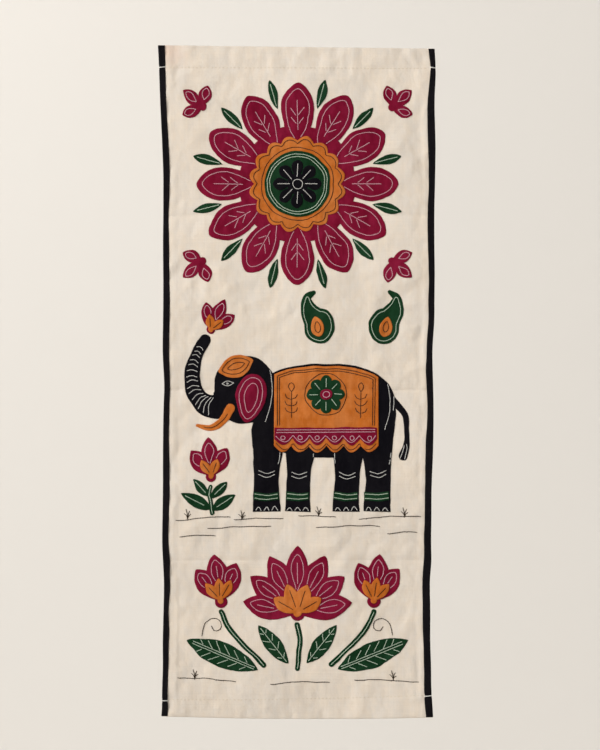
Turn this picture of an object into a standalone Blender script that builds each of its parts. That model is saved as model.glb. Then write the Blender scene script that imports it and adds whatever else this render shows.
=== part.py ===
"""A hanging applique panel: a cream cotton ground with its hems turned to the back, a black binding folded
over each side edge, and motifs cut from maroon, orange, green and black cotton.

The origin is at the middle of the top edge. +X is to the right seen from the front, the front faces -Y, and
the panel hangs down along -Z. Sizes below are in millimetres: x to the right, drop downwards from the top
edge, and forward towards the viewer."""

import math
from collections import namedtuple

import bmesh
import bpy
import numpy as np
from mathutils import Vector
from mathutils.geometry import delaunay_2d_cdt

MM = 0.001

# Thickness of each cloth, and the gap kept between pieces
GROUND_THICKNESS = 1.2
HEM_TURN_THICKNESS = 1.2
PATCH_THICKNESS = 1.0
BINDING_THICKNESS = 1.0
GAP = 0.3
LAYER_STEP = PATCH_THICKNESS + GAP

# Overall size
HEIGHT = 915.0
HALF_WIDTH = 184.0

# Side edges of the bound panel and the width of each binding, down the panel
EdgeRow = namedtuple("EdgeRow", "drop left right left_binding right_binding")
EDGES = (
    EdgeRow(0, -190.1, 187.0, 9.4, 8.0),
    EdgeRow(29, -188.5, 188.3, 8.6, 7.1),
    EdgeRow(72, -186.8, 186.8, 8.0, 9.1),
    EdgeRow(141, -183.7, 188.0, 8.5, 9.8),
    EdgeRow(222, -182.5, 186.4, 7.2, 8.6),
    EdgeRow(332, -182.5, 185.5, 8.3, 7.5),
    EdgeRow(413, -183.3, 183.8, 8.5, 7.9),
    EdgeRow(468, -181.4, 184.9, 7.5, 8.9),
    EdgeRow(550, -183.0, 184.4, 7.9, 10.1),
    EdgeRow(604, -183.0, 182.4, 9.0, 8.6),
    EdgeRow(659, -184.1, 181.4, 8.6, 9.4),
    EdgeRow(727, -181.6, 180.3, 8.2, 10.0),
    EdgeRow(809, -183.0, 180.4, 8.2, 9.3),
    EdgeRow(887, -184.0, 183.1, 7.2, 9.0),
    EdgeRow(915, -184.6, 184.1, 7.8, 9.6),
)

# How far the cloth stands forward of the plane of its top edge
LeanRow = namedtuple("LeanRow", "drop forward")
LEAN = (
    LeanRow(0, 0.0),
    LeanRow(60, 1.2),
    LeanRow(230, 2.0),
    LeanRow(468, 2.2),
    LeanRow(600, 3.2),
    LeanRow(700, 5.0),
    LeanRow(800, 8.5),
    LeanRow(880, 12.0),
    LeanRow(915, 13.0),
)

# Lengths between the storage creases, each bowed forward
Section = namedtuple("Section", "start end bow")
SECTIONS = (
    Section(0, 230, 2.0),
    Section(230, 468, 1.6),
    Section(468, 700, 2.0),
    Section(700, 915, 1.6),
)

# Sway of the side edges, forward or back
SwayRow = namedtuple("SwayRow", "drop left right")
SWAY = (
    SwayRow(0, 0.0, 0.0),
    SwayRow(120, 1.8, -0.8),
    SwayRow(260, -1.4, 2.0),
    SwayRow(400, 2.0, 0.4),
    SwayRow(540, -1.0, 2.4),
    SwayRow(680, 2.0, -0.8),
    SwayRow(800, -1.2, 1.8),
    SwayRow(915, 2.4, 5.5),
)
SWAY_STARTS = 60.0

# Upright flutes puckered by the hem seams
Flute = namedtuple("Flute", "x half_width depth")
TOP_FLUTES = (
    Flute(-157.4, 9.0, 1.2),
    Flute(-134.2, 10.5, 1.4),
    Flute(-112.4, 10.0, 1.3),
    Flute(-90.5, 9.5, 1.5),
    Flute(-72.8, 8.5, 1.1),
    Flute(-44.2, 12.0, 1.5),
    Flute(-19.6, 12.0, 1.2),
    Flute(26.7, 13.0, 1.4),
    Flute(54.0, 9.5, 1.3),
    Flute(69.0, 7.5, 1.0),
    Flute(86.7, 9.0, 1.5),
    Flute(108.5, 11.0, 1.3),
    Flute(140.0, 12.0, 1.1),
)
BOTTOM_FLUTES = (
    Flute(-142.4, 15.0, 1.6),
    Flute(-93.3, 17.0, 1.8),
    Flute(-51.0, 15.0, 1.4),
    Flute(-6.0, 14.0, 1.7),
    Flute(32.2, 15.0, 1.4),
    Flute(100.4, 12.0, 1.6),
    Flute(122.2, 9.5, 1.3),
    Flute(152.2, 13.0, 1.8),
)

# Rows of the ground cloth. tilt is how much lower a row lies at the right edge than at the middle. above and
# below say whether the cloth is doubled by a hem on that side of the row.
ClothRow = namedtuple("ClothRow", "drop tilt above below")
TOP_HEM_ROWS = (
    ClothRow(0.0, 2.3, True, True),
    ClothRow(9.5, 1.7, True, True),
    ClothRow(19.0, 1.1, True, True),
    ClothRow(28.2, 0.6, True, True),
    ClothRow(31.2, 0.6, True, False),
    ClothRow(37.0, 0.0, False, False),
)
FIELD_DROPS = (44, 81, 118, 155, 192, 230, 270, 310, 349, 389, 428, 468,
               507, 545, 584, 623, 661, 700, 742, 784, 826, 868)
BOTTOM_HEM_ROWS = (
    ClothRow(877.0, -1.5, False, False),
    ClothRow(885.6, -3.1, False, True),
    ClothRow(888.6, -3.1, True, True),
    ClothRow(897.0, -1.8, True, True),
    ClothRow(906.0, -0.5, True, True),
    ClothRow(HEIGHT, 0.8, True, True),
)
FIELD_ROWS = tuple(ClothRow(float(drop), 0.0, False, False) for drop in FIELD_DROPS)
CLOTH_ROWS = TOP_HEM_ROWS + FIELD_ROWS + BOTTOM_HEM_ROWS
FLUTES_START = (44.0, 868.0)
FLUTES_FULL = (28.2, 888.6)

# Columns of the ground cloth between its edge strips
COLUMN_REACH = 168.0
FIELD_COLUMN = 42.0
HEM_COLUMN = FIELD_COLUMN / 4

# Outlines: points a side of a petal, of a small one, of a scallop and of a round end, and two petal shapes
SNAP = 0.001
ARC_POINTS = 7
SMALL_POINTS = 5
SCALLOP_POINTS = 4
CAP_POINTS = 4
ROUND = 0.6
POINTED = 0.78

# Cloth colours and finish
Cotton = namedtuple("Cotton", "red green blue roughness")
CREAM = Cotton(0.72, 0.62, 0.50, 0.92)
MAROON = Cotton(0.20, 0.009, 0.032, 0.88)
ORANGE = Cotton(0.52, 0.145, 0.028, 0.88)
GREEN = Cotton(0.010, 0.040, 0.016, 0.88)
BLACK = Cotton(0.008, 0.007, 0.009, 0.90)


def through(drops, values, drop):
    """A smooth curve through the rows of a table, read at one drop."""
    slopes = np.gradient(values, drops)
    index = np.clip(np.searchsorted(drops, drop) - 1, 0, len(drops) - 2)
    span = drops[index + 1] - drops[index]
    t = np.clip((drop - drops[index]) / span, 0.0, 1.0)
    start = (1 + 2 * t) * (1 - t) ** 2 * values[index] + t * (1 - t) ** 2 * span * slopes[index]
    end = t**2 * (3 - 2 * t) * values[index + 1] - t**2 * (1 - t) * span * slopes[index + 1]
    return start + end


def column(rows, name):
    return np.array([getattr(row, name) for row in rows], dtype=float)


EDGE_DROPS = column(EDGES, "drop")
LEAN_DROPS = column(LEAN, "drop")
SWAY_DROPS = column(SWAY, "drop")


def edge(name, drop):
    return float(through(EDGE_DROPS, column(EDGES, name), drop))


def ease(value, start, end):
    """Rises smoothly from 0 at start to 1 at end."""
    t = min(max((value - start) / (end - start), 0.0), 1.0)
    return t * t * (3 - 2 * t)


def flutes(x, drop):
    """Troughs of the hem bands, deepest at the seams."""
    top_share = 1 - ease(drop, FLUTES_FULL[0], FLUTES_START[0])
    bottom_share = ease(drop, FLUTES_START[1], FLUTES_FULL[1])
    depth = 0.0
    for share, rows in ((top_share, TOP_FLUTES), (bottom_share, BOTTOM_FLUTES)):
        for flute in rows:
            away = abs(x - flute.x) / flute.half_width
            if away < 1:
                depth += share * flute.depth * 0.5 * (1 + math.cos(math.pi * away))
    return depth


def hang(x, drop):
    """Forward distance of the middle of the ground cloth."""
    drop = min(max(drop, 0.0), HEIGHT)
    forward = float(through(LEAN_DROPS, column(LEAN, "forward"), drop))
    for section in SECTIONS:
        if section.start <= drop <= section.end:
            share = (drop - section.start) / (section.end - section.start)
            forward += section.bow * math.sin(math.pi * share)
            break
    side = "left" if x < 0 else "right"
    sway = float(through(SWAY_DROPS, column(SWAY, side), drop))
    forward += sway * ease(abs(x), SWAY_STARTS, COLUMN_REACH)
    return forward - flutes(x, drop)


FIELD_COLUMNS = np.arange(-COLUMN_REACH, COLUMN_REACH + 1, FIELD_COLUMN)
FIELD_FORWARD = np.array([[hang(x, drop) for x in FIELD_COLUMNS] for drop in FIELD_DROPS])


def lie(x, drop):
    """Forward distance on the facets of the field, where each cell is split from upper right to lower left."""
    i = min(max(int((x + COLUMN_REACH) // FIELD_COLUMN), 0), len(FIELD_COLUMNS) - 2)
    j = min(max(int(np.searchsorted(FIELD_DROPS, drop, side="right")) - 1, 0), len(FIELD_DROPS) - 2)
    u = (x - FIELD_COLUMNS[i]) / FIELD_COLUMN
    v = (drop - FIELD_DROPS[j]) / (FIELD_DROPS[j + 1] - FIELD_DROPS[j])
    here, right = FIELD_FORWARD[j, i], FIELD_FORWARD[j, i + 1]
    below, across = FIELD_FORWARD[j + 1, i], FIELD_FORWARD[j + 1, i + 1]
    if u + v <= 1:
        return here + u * (right - here) + v * (below - here)
    return across + (1 - u) * (below - across) + (1 - v) * (right - across)


def at(x, drop, forward):
    """A point of the panel in metres."""
    return Vector((x * MM, -forward * MM, -drop * MM))


def finish(name, points, faces, cotton):
    """One closed solid in its own object, with its own cotton material."""
    mesh = bpy.data.meshes.new(name)
    mesh.from_pydata(points, [], faces)
    work = bmesh.new()
    work.from_mesh(mesh)
    bmesh.ops.recalc_face_normals(work, faces=work.faces)
    work.to_mesh(mesh)
    work.free()
    material = bpy.data.materials.new(name + " cotton")
    material.use_nodes = True
    shader = material.node_tree.nodes["Principled BSDF"]
    shader.inputs["Base Color"].default_value = (cotton.red, cotton.green, cotton.blue, 1.0)
    shader.inputs["Roughness"].default_value = cotton.roughness
    shader.inputs["Metallic"].default_value = 0.0
    mesh.materials.append(material)
    solid = bpy.data.objects.new(name, mesh)
    bpy.context.scene.collection.objects.link(solid)
    return solid


def stitch(upper, lower, points, axis=0):
    """Triangles between two rows of point numbers, both in rising order along the given axis."""
    faces = []
    i, j = 0, 0
    while i < len(upper) - 1 or j < len(lower) - 1:
        next_upper = points[upper[i + 1]][axis] if i < len(upper) - 1 else math.inf
        next_lower = points[lower[j + 1]][axis] if j < len(lower) - 1 else math.inf
        if next_upper <= next_lower + SNAP * MM:
            faces.append((upper[i], upper[i + 1], lower[j]))
            i += 1
        else:
            faces.append((upper[i], lower[j + 1], lower[j]))
            j += 1
    return faces


def back_depth(in_hem):
    """How far the back of the ground lies behind the middle of its cloth."""
    return GROUND_THICKNESS / 2 + (HEM_TURN_THICKNESS if in_hem else 0.0)


def row_drop(row, x):
    return row.drop + row.tilt * x / HALF_WIDTH


def add_row(points, row, xs, forward):
    """Adds the row's points, forward of the middle of the cloth, and gives their numbers."""
    first = len(points)
    for x in xs:
        drop = row_drop(row, x)
        points.append(at(x, drop, hang(x, drop) + forward))
    return list(range(first, len(points)))


def ground_cloth():
    """The cream ground: one sheet, doubled where its hems are turned to the back and pressed flat."""
    points, fronts, backs = [], [], []
    for row in CLOTH_ROWS:
        spacing = FIELD_COLUMN if row in FIELD_ROWS else HEM_COLUMN
        left = edge("left", row.drop) + BINDING_THICKNESS + GAP
        right = edge("right", row.drop) - BINDING_THICKNESS - GAP
        xs = [left, *np.arange(-COLUMN_REACH, COLUMN_REACH + 1, spacing), right]
        fronts.append(add_row(points, row, xs, GROUND_THICKNESS / 2))
        levels = [add_row(points, row, xs, -back_depth(row.above))]
        if row.below != row.above:
            levels.append(add_row(points, row, xs, -back_depth(row.below)))
        backs.append(levels)
    faces = stitch(fronts[0], backs[0][0], points) + stitch(fronts[-1], backs[-1][0], points)
    for levels in backs:
        if len(levels) > 1:
            faces += stitch(*levels, points)
    for k in range(len(CLOTH_ROWS) - 1):
        faces += stitch(fronts[k], fronts[k + 1], points)
        faces += stitch(backs[k][-1], backs[k + 1][0], points)
        for end in (0, -1):
            upper = rim_path(fronts[k][end], [level[end] for level in backs[k]], -1, points)
            lower = rim_path(fronts[k + 1][end], [level[end] for level in backs[k + 1]], 0, points)
            faces += stitch(upper, lower, points, axis=1)
    finish("ground_cloth", points, faces, CREAM)


def rim_path(front, levels, facing, points):
    """The points on a side edge from the front to the back level that faces the strip."""
    between = [level for level in levels if points[level].y < points[levels[facing]].y]
    return [front, *between, levels[facing]]


def binding(side):
    """A black strip folded over one side edge, with a leg in front and a leg behind."""
    sign = -1 if side == "left" else 1
    points, sections = [], []
    for row in CLOTH_ROWS:
        rim = edge(side, row.drop)
        drop = row_drop(row, rim)
        middle = hang(rim, drop)
        front = middle + GROUND_THICKNESS / 2 + GAP
        back = middle - back_depth(row.above or row.below) - GAP
        inside = rim - sign * BINDING_THICKNESS
        tip = rim - sign * edge(side + "_binding", row.drop)
        profile = (
            (rim, front + BINDING_THICKNESS),
            (tip, front + BINDING_THICKNESS),
            (tip, front),
            (inside, front),
            (inside, back),
            (tip, back),
            (tip, back - BINDING_THICKNESS),
            (rim, back - BINDING_THICKNESS),
        )
        sections.append(range(len(points), len(points) + len(profile)))
        points += [at(x, drop, forward) for x, forward in profile]
    faces = []
    for upper, lower in zip(sections, sections[1:]):
        for k, here in enumerate(upper):
            following = (k + 1) % len(upper)
            faces.append((here, upper[following], lower[following]))
            faces.append((here, lower[following], lower[k]))
    for section in (sections[0], sections[-1]):
        front_rim, front_tip, front_under, fold_front, fold_back, back_under, back_tip, back_rim = section
        faces.append((front_rim, front_tip, front_under, fold_front))
        faces.append((front_rim, fold_front, fold_back, back_rim))
        faces.append((back_rim, fold_back, back_under, back_tip))
    finish("binding_" + side, points, faces, BLACK)


def ellipse(x, drop, half_width, half_height, points=24, boxy=2.0):
    """A closed oval, squarer as boxy grows past 2."""
    outline = []
    for k in range(points):
        turn = 2 * math.pi * k / points
        across = math.copysign(abs(math.cos(turn)) ** (2 / boxy), math.cos(turn))
        down = math.copysign(abs(math.sin(turn)) ** (2 / boxy), math.sin(turn))
        outline.append((x + half_width * across, drop + half_height * down))
    return outline


def petal(x, drop, heading, length, width, power=ROUND, peak=0.6, points=ARC_POINTS):
    """A petal or leaf from its root at x, drop, pointing along heading, in degrees clockwise from straight up.

    peak is where along its length it is widest."""
    shift = math.log(0.5) / math.log(peak)
    ahead = (math.sin(math.radians(heading)), -math.cos(math.radians(heading)))
    shares = [0.5 - 0.5 * math.cos(math.pi * k / points) for k in range(points + 1)]
    outline = []
    for side, run in ((1, shares[:-1]), (-1, shares[:0:-1])):
        for share in run:
            along = share * length
            aside = side * width / 2 * math.sin(math.pi * share**shift) ** power
            across = (-ahead[1] * aside, ahead[0] * aside)
            outline.append((x + ahead[0] * along + across[0], drop + ahead[1] * along + across[1]))
    return outline


def catmull(rows, steps):
    """Points along a smooth open curve through rows of numbers."""
    rows = np.array(rows, dtype=float)
    knots = np.vstack([2 * rows[0] - rows[1], rows, 2 * rows[-1] - rows[-2]])
    curve = []
    for i in range(1, len(knots) - 2):
        for k in range(steps):
            t = k / steps
            a, b, c, d = knots[i - 1:i + 3]
            curve.append(0.5 * (2 * b + (c - a) * t + (2 * a - 5 * b + 4 * c - d) * t**2
                                + (3 * b - a - 3 * c + d) * t**3))
    curve.append(knots[-2])
    return curve


def limb(rows, steps=3, flat_end=False):
    """A tapering stroke through rows of x, drop and width, round at its start and round or flat at its end."""
    curve = catmull(rows, steps)
    ways, lefts, rights = [], [], []
    for k, (x, drop, width) in enumerate(curve):
        before, after = curve[max(k - 1, 0)], curve[min(k + 1, len(curve) - 1)]
        run = math.hypot(after[0] - before[0], after[1] - before[1])
        way = ((after[0] - before[0]) / run, (after[1] - before[1]) / run)
        ways.append(way)
        lefts.append((x + way[1] * width / 2, drop - way[0] * width / 2))
        rights.append((x - way[1] * width / 2, drop + way[0] * width / 2))
    end_cap = [] if flat_end else cap(curve[-1], ways[-1], 1)
    return lefts + end_cap + rights[::-1] + cap(curve[0], ways[0], -1)


def cap(end, way, sign):
    """The round end of a stroke, from its left side to its right side, or back again at its start."""
    x, drop, width = end
    arc = []
    for k in range(1, CAP_POINTS):
        turn = math.pi * k / CAP_POINTS
        across = math.cos(turn) * width / 2 * sign
        ahead = math.sin(turn) * width / 2 * sign
        arc.append((x + way[1] * across + way[0] * ahead, drop - way[0] * across + way[1] * ahead))
    return arc


def flower(x, drop, count, inner, outer, width, points=ARC_POINTS):
    """A ring of petals on a disc of radius inner, cut in one piece."""
    root = inner * 0.6
    outlines = [ellipse(x, drop, inner, inner, points=2 * count)]
    for k in range(count):
        heading = 360 * k / count
        way = math.radians(heading)
        outlines.append(petal(x + root * math.sin(way), drop - root * math.cos(way), heading,
                              outer - root, width, points=points))
    return merged(outlines)


def spray(row):
    """Petals spread evenly from one root, cut in one piece, the outer ones shorter than the middle one."""
    heart = row.width * HEART_SHARE
    outlines = [ellipse(row.x, row.drop, heart, heart, points=8)]
    for k in range(row.petals):
        share = 2 * k / (row.petals - 1) - 1
        length = row.length * (1 + (row.outer_length - 1) * abs(share))
        heading = row.heading + share * row.spread
        outlines.append(petal(row.x, row.drop, heading, length, row.width, POINTED, 0.56))
    return merged(outlines)


def scalloped(x, drop, radius, count, depth):
    """A round patch with a scalloped rim."""
    outline = []
    for k in range(count * SCALLOP_POINTS):
        turn = 2 * math.pi * k / (count * SCALLOP_POINTS)
        reach = radius - depth * (1 - abs(math.sin(turn * count / 2)))
        outline.append((x + reach * math.sin(turn), drop - reach * math.cos(turn)))
    return outline


def turned(outline):
    """The outline in the direction that gives a positive area."""
    area = 0.0
    for (x, drop), (next_x, next_drop) in zip(outline, outline[1:] + outline[:1]):
        area += x * next_drop - next_x * drop
    return outline if area > 0 else outline[::-1]


def merged(outlines):
    """The outer outline of overlapping outlines."""
    outlines = [turned(outline) for outline in outlines]
    corners = [Vector(point) for outline in outlines for point in outline]
    loops = []
    start = 0
    for outline in outlines:
        loops.append(list(range(start, start + len(outline))))
        start += len(outline)
    places, _, faces, _, _, sources = delaunay_2d_cdt(corners, [], loops, 1, SNAP)
    kept = [face for face, source in zip(faces, sources) if source]
    loop = max(rims(kept), key=len)
    return [tuple(places[number]) for number in loop]


def rims(faces):
    """The boundary loops of a set of triangles, as lists of point numbers."""
    directed = {(face[k], face[(k + 1) % len(face)]) for face in faces for k in range(len(face))}
    following = {a: b for a, b in directed if (b, a) not in directed}
    loops = []
    while following:
        start, here = following.popitem()
        loop = [start]
        while here != start:
            loop.append(here)
            here = following.pop(here)
        loops.append(loop)
    return loops


def patch(name, outline, layer, cotton):
    """A motif cut from thin cotton, lying on the facets of the ground at the given layer."""
    corners = [Vector(point) for point in turned(outline)]
    loop = list(range(len(corners)))
    low_x, high_x = min(p.x for p in corners), max(p.x for p in corners)
    low_drop, high_drop = min(p.y for p in corners), max(p.y for p in corners)
    lines = []
    for x in FIELD_COLUMNS:
        if low_x < x < high_x:
            lines.append(((x, low_drop - 1), (x, high_drop + 1)))
    for drop in FIELD_DROPS:
        if low_drop < drop < high_drop:
            lines.append(((low_x - 1, drop), (high_x + 1, drop)))
    for upper, lower in zip(FIELD_DROPS, FIELD_DROPS[1:]):
        for x in FIELD_COLUMNS[:-1]:
            reaches = x < high_x and x + FIELD_COLUMN > low_x
            if reaches and upper < high_drop and lower > low_drop:
                lines.append(((x + FIELD_COLUMN, upper), (x, lower)))
    edges = []
    for start, end in lines:
        edges.append((len(corners), len(corners) + 1))
        corners += [Vector(start), Vector(end)]
    places, _, faces, _, _, sources = delaunay_2d_cdt(corners, edges, [loop], 0, SNAP)
    kept = [face for face, source in zip(faces, sources) if source]
    used = sorted({number for face in kept for number in face})
    back = GROUND_THICKNESS / 2 + GAP + (layer - 1) * LAYER_STEP
    points = []
    front_of, back_of = {}, {}
    for number in used:
        x, drop = places[number]
        forward = lie(x, drop) + back
        back_of[number] = len(points)
        points.append(at(x, drop, forward))
        front_of[number] = len(points)
        points.append(at(x, drop, forward + PATCH_THICKNESS))
    solid = []
    for face in kept:
        solid.append([front_of[number] for number in face])
        solid.append([back_of[number] for number in reversed(face)])
    for rim in rims(kept):
        for k, here in enumerate(rim):
            following = rim[(k + 1) % len(rim)]
            solid.append((back_of[here], back_of[following], front_of[following]))
            solid.append((back_of[here], front_of[following], front_of[here]))
    finish(name, points, solid, cotton)


# Rosette
ROSETTE_X = 0.0
ROSETTE_DROP = 187.0
ROSETTE_PETALS = 12
ROSETTE_RADIUS = 138.0
ROSETTE_INNER = 80.0
PETAL_WIDTH = 46.0
FRILL_RADIUS = 66.0
FRILL_SCALLOPS = 16
FRILL_DEPTH = 7.0
DISC_RADIUS = 45.0
HEART_RADIUS = 33.0
HEART_PETALS = 8
LEAF_ROOT_RADIUS = 106.0
LEAF_LENGTH = 41.0
LEAF_WIDTH = 13.0


def rosette():
    centre = (ROSETTE_X, ROSETTE_DROP)
    petals = flower(*centre, ROSETTE_PETALS, ROSETTE_INNER, ROSETTE_RADIUS, PETAL_WIDTH, points=ARC_POINTS + 2)
    patch("rosette_petals", petals, 1, MAROON)
    patch("rosette_frill", scalloped(*centre, FRILL_RADIUS, FRILL_SCALLOPS, FRILL_DEPTH), 2, ORANGE)
    patch("rosette_disc", ellipse(*centre, DISC_RADIUS, DISC_RADIUS, points=2 * FRILL_SCALLOPS), 3, GREEN)
    heart = flower(*centre, HEART_PETALS, HEART_RADIUS * 0.45, HEART_RADIUS, HEART_RADIUS * 0.5, SMALL_POINTS)
    patch("rosette_heart", heart, 4, BLACK)
    for k in range(ROSETTE_PETALS):
        heading = 360 * (k + 0.5) / ROSETTE_PETALS
        x = ROSETTE_X + LEAF_ROOT_RADIUS * math.sin(math.radians(heading))
        drop = ROSETTE_DROP - LEAF_ROOT_RADIUS * math.cos(math.radians(heading))
        outline = petal(x, drop, heading, LEAF_LENGTH, LEAF_WIDTH, POINTED, 0.55, SMALL_POINTS)
        patch(f"rosette_leaf_{k + 1:02d}", outline, 1, GREEN)


# Elephant: limbs are rows of x, height above the feet and width
ELEPHANT_X = 12.0
ELEPHANT_FEET = 634.0
Oval = namedtuple("Oval", "x height half_width half_height boxy")
BODY = Oval(24, 138, 98, 64, 2.5)
HEAD = Oval(-84, 166, 42, 46, 2.2)
Knot = namedtuple("Knot", "x height width")
TRUNK = (
    Knot(-98, 160, 52),
    Knot(-124, 144, 34),
    Knot(-146, 154, 26),
    Knot(-156, 182, 21),
    Knot(-150, 212, 17),
    Knot(-138, 234, 15),
)
TUSK = (
    Knot(-104, 141, 12),
    Knot(-114, 124, 12),
    Knot(-131, 114, 9),
    Knot(-149, 118, 4),
)
TAIL = (
    Knot(112, 158, 12),
    Knot(134, 132, 8),
    Knot(137, 100, 7),
    Knot(132, 76, 12),
)
LEGS = (
    (Knot(-50, 110, 50), Knot(-54, 56, 35), Knot(-54, 0, 37)),
    (Knot(-6, 100, 46), Knot(-10, 54, 33), Knot(-12, 0, 35)),
    (Knot(58, 100, 50), Knot(56, 54, 34), Knot(54, 0, 36)),
    (Knot(92, 116, 58), Knot(98, 56, 35), Knot(96, 0, 37)),
)
Lobe = namedtuple("Lobe", "x height heading length width power peak")
EAR = Lobe(-70, 188, 190, 68, 42, 0.6, 0.4)
CAP = Lobe(-72, 206, 252, 50, 30, 0.75, 0.5)
ANKLET_HEIGHT = 22.0
ANKLET_WIDTH = 11.0
ANKLET_SAG = 2.0
ANKLET_MARGIN = 1.5

# Saddle cloth
SADDLE_LEFT = -44.0
SADDLE_RIGHT = 98.0
SADDLE_HEM = 90.0
SADDLE_MARGIN = 3.0
SADDLE_SCALLOPS = 6
SADDLE_SCALLOP_DEPTH = 9.0
BORDER_RAISE = 10.0
BORDER_WIDTH = 15.0
BORDER_INSET = 1.0
SADDLE_FLOWER = Knot(27, 160, 26)
SADDLE_FLOWER_PETALS = 8
SADDLE_EYE_RADIUS = 8.0


def spot(x, height):
    """A point of the elephant on the panel."""
    return (ELEPHANT_X + x, ELEPHANT_FEET - height)


def elephant_limb(knots, steps=3, flat_end=False):
    return limb([(*spot(knot.x, knot.height), knot.width) for knot in knots], steps, flat_end)


def elephant_oval(oval):
    return ellipse(*spot(oval.x, oval.height), oval.half_width, oval.half_height, 28, oval.boxy)


def elephant_lobe(lobe):
    return petal(*spot(lobe.x, lobe.height), lobe.heading, lobe.length, lobe.width, lobe.power, lobe.peak)


def back_height(x):
    """Height of the elephant's back above its feet."""
    across = min(abs(x - BODY.x) / BODY.half_width, 1.0)
    return BODY.height + BODY.half_height * (1 - across**BODY.boxy) ** (1 / BODY.boxy)


def saddle_outline(raised=0.0, top=None, inset=0.0):
    """The saddle cloth, or a band of it between a raised scalloped hem and a straight top."""
    left, right = SADDLE_LEFT + inset, SADDLE_RIGHT - inset
    hem_points = SADDLE_SCALLOPS * SCALLOP_POINTS
    outline = []
    for k in range(hem_points + 1):
        dip = SADDLE_SCALLOP_DEPTH * abs(math.sin(math.pi * k / SCALLOP_POINTS))
        outline.append(spot(left + (right - left) * k / hem_points, SADDLE_HEM + raised - dip))
    for x in np.linspace(right, left, 9):
        outline.append(spot(x, top or back_height(x) - SADDLE_MARGIN))
    return outline


def elephant():
    outlines = [elephant_oval(BODY), elephant_oval(HEAD), elephant_limb(TRUNK), elephant_limb(TAIL)]
    outlines += [elephant_limb(leg, 2, flat_end=True) for leg in LEGS]
    patch("elephant_body", merged(outlines), 1, BLACK)
    patch("elephant_ear", elephant_lobe(EAR), 2, MAROON)
    patch("elephant_cap", elephant_lobe(CAP), 2, ORANGE)
    patch("elephant_tusk", elephant_limb(TUSK, 2), 2, ORANGE)
    for number, leg in enumerate(LEGS):
        patch(f"anklet_{number + 1}", anklet(leg[-1]), 2, GREEN)


def anklet(foot):
    """A band across a leg, sagging a little in the middle."""
    half = foot.width / 2 - ANKLET_MARGIN
    low, high = ANKLET_HEIGHT - ANKLET_WIDTH / 2, ANKLET_HEIGHT + ANKLET_WIDTH / 2
    return [spot(foot.x - half, low), spot(foot.x, low - ANKLET_SAG), spot(foot.x + half, low),
            spot(foot.x + half, high), spot(foot.x, high - ANKLET_SAG), spot(foot.x - half, high)]


def saddle():
    patch("saddle_cloth", saddle_outline(), 2, ORANGE)
    border_top = SADDLE_HEM + BORDER_RAISE + BORDER_WIDTH
    patch("saddle_border", saddle_outline(BORDER_RAISE, border_top, BORDER_INSET), 3, MAROON)
    centre = spot(SADDLE_FLOWER.x, SADDLE_FLOWER.height)
    reach = SADDLE_FLOWER.width
    petals = flower(*centre, SADDLE_FLOWER_PETALS, reach * 0.5, reach, reach * 0.6, SMALL_POINTS)
    patch("saddle_flower", petals, 3, GREEN)
    patch("saddle_eye", ellipse(*centre, SADDLE_EYE_RADIUS, SADDLE_EYE_RADIUS, points=14), 4, MAROON)


# Sprays of petals: sprigs around the rosette, buds with their cups, and the lotus of the bed
Spray = namedtuple("Spray", "name x drop heading petals spread length width outer_length layer cotton")
SPRAYS = (
    Spray("sprig_1", -129, 82, -50, 3, 62, 35, 18, 0.85, 1, MAROON),
    Spray("sprig_2", 129, 82, 50, 3, 62, 35, 18, 0.85, 1, MAROON),
    Spray("sprig_3", -129, 292, -130, 3, 62, 35, 18, 0.85, 1, MAROON),
    Spray("sprig_4", 129, 292, 130, 3, 62, 35, 18, 0.85, 1, MAROON),
    Spray("held_bud", -118, 386, 24, 3, 34, 45, 19, 0.85, 1, MAROON),
    Spray("held_cup", -118, 386, 24, 2, 28, 21, 12, 1.0, 2, ORANGE),
    Spray("bush_bud", -118, 586, -4, 3, 34, 53, 24, 0.85, 1, MAROON),
    Spray("bush_cup", -118, 585, -4, 2, 28, 25, 13, 1.0, 2, ORANGE),
    Spray("lotus_flower", 0, 772, 0, 7, 78, 92, 34, 0.82, 1, MAROON),
    Spray("lotus_cup", 0, 771, 0, 4, 60, 42, 20, 0.9, 2, ORANGE),
    Spray("bud_left", -104, 756, -8, 3, 30, 65, 30, 0.86, 1, MAROON),
    Spray("bud_right", 104, 756, 8, 3, 30, 65, 30, 0.86, 1, MAROON),
    Spray("cup_left", -104, 755, -8, 3, 34, 31, 14, 1.0, 2, ORANGE),
    Spray("cup_right", 104, 755, 8, 3, 34, 31, 14, 1.0, 2, ORANGE),
)
HEART_SHARE = 0.3

# Leaves and stems of the lotus bed and of the flowering bush
Leaf = namedtuple("Leaf", "name x drop heading length width")
LEAVES = (
    Leaf("leaf_1", -54, 848, -68, 104, 34),
    Leaf("leaf_2", 54, 848, 68, 104, 34),
    Leaf("leaf_3", -13, 840, -38, 66, 22),
    Leaf("leaf_4", 13, 840, 38, 66, 22),
)
BUSH_LEAVES = (
    Leaf("low_left", -118, 630, -62, 46, 17),
    Leaf("low_right", -118, 632, 58, 40, 16),
    Leaf("high_left", -119, 614, -44, 34, 13),
    Leaf("high_right", -118, 616, 44, 32, 13),
)
StemKnot = namedtuple("StemKnot", "x drop width")
STEMS = {
    "stem_1": (StemKnot(0, 788, 7), StemKnot(3, 812, 7), StemKnot(0, 846, 7)),
    "stem_2": (StemKnot(-104, 770, 7), StemKnot(-89, 798, 7), StemKnot(-46, 842, 7)),
    "stem_3": (StemKnot(104, 770, 7), StemKnot(89, 798, 7), StemKnot(46, 842, 7)),
}
BUSH_STEM = (StemKnot(-118, 599, 5), StemKnot(-120, 612, 6), StemKnot(-116, 636, 6))


def leaf(row, points=ARC_POINTS):
    return petal(row.x, row.drop, row.heading, row.length, row.width, POINTED, 0.5, points)


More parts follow.
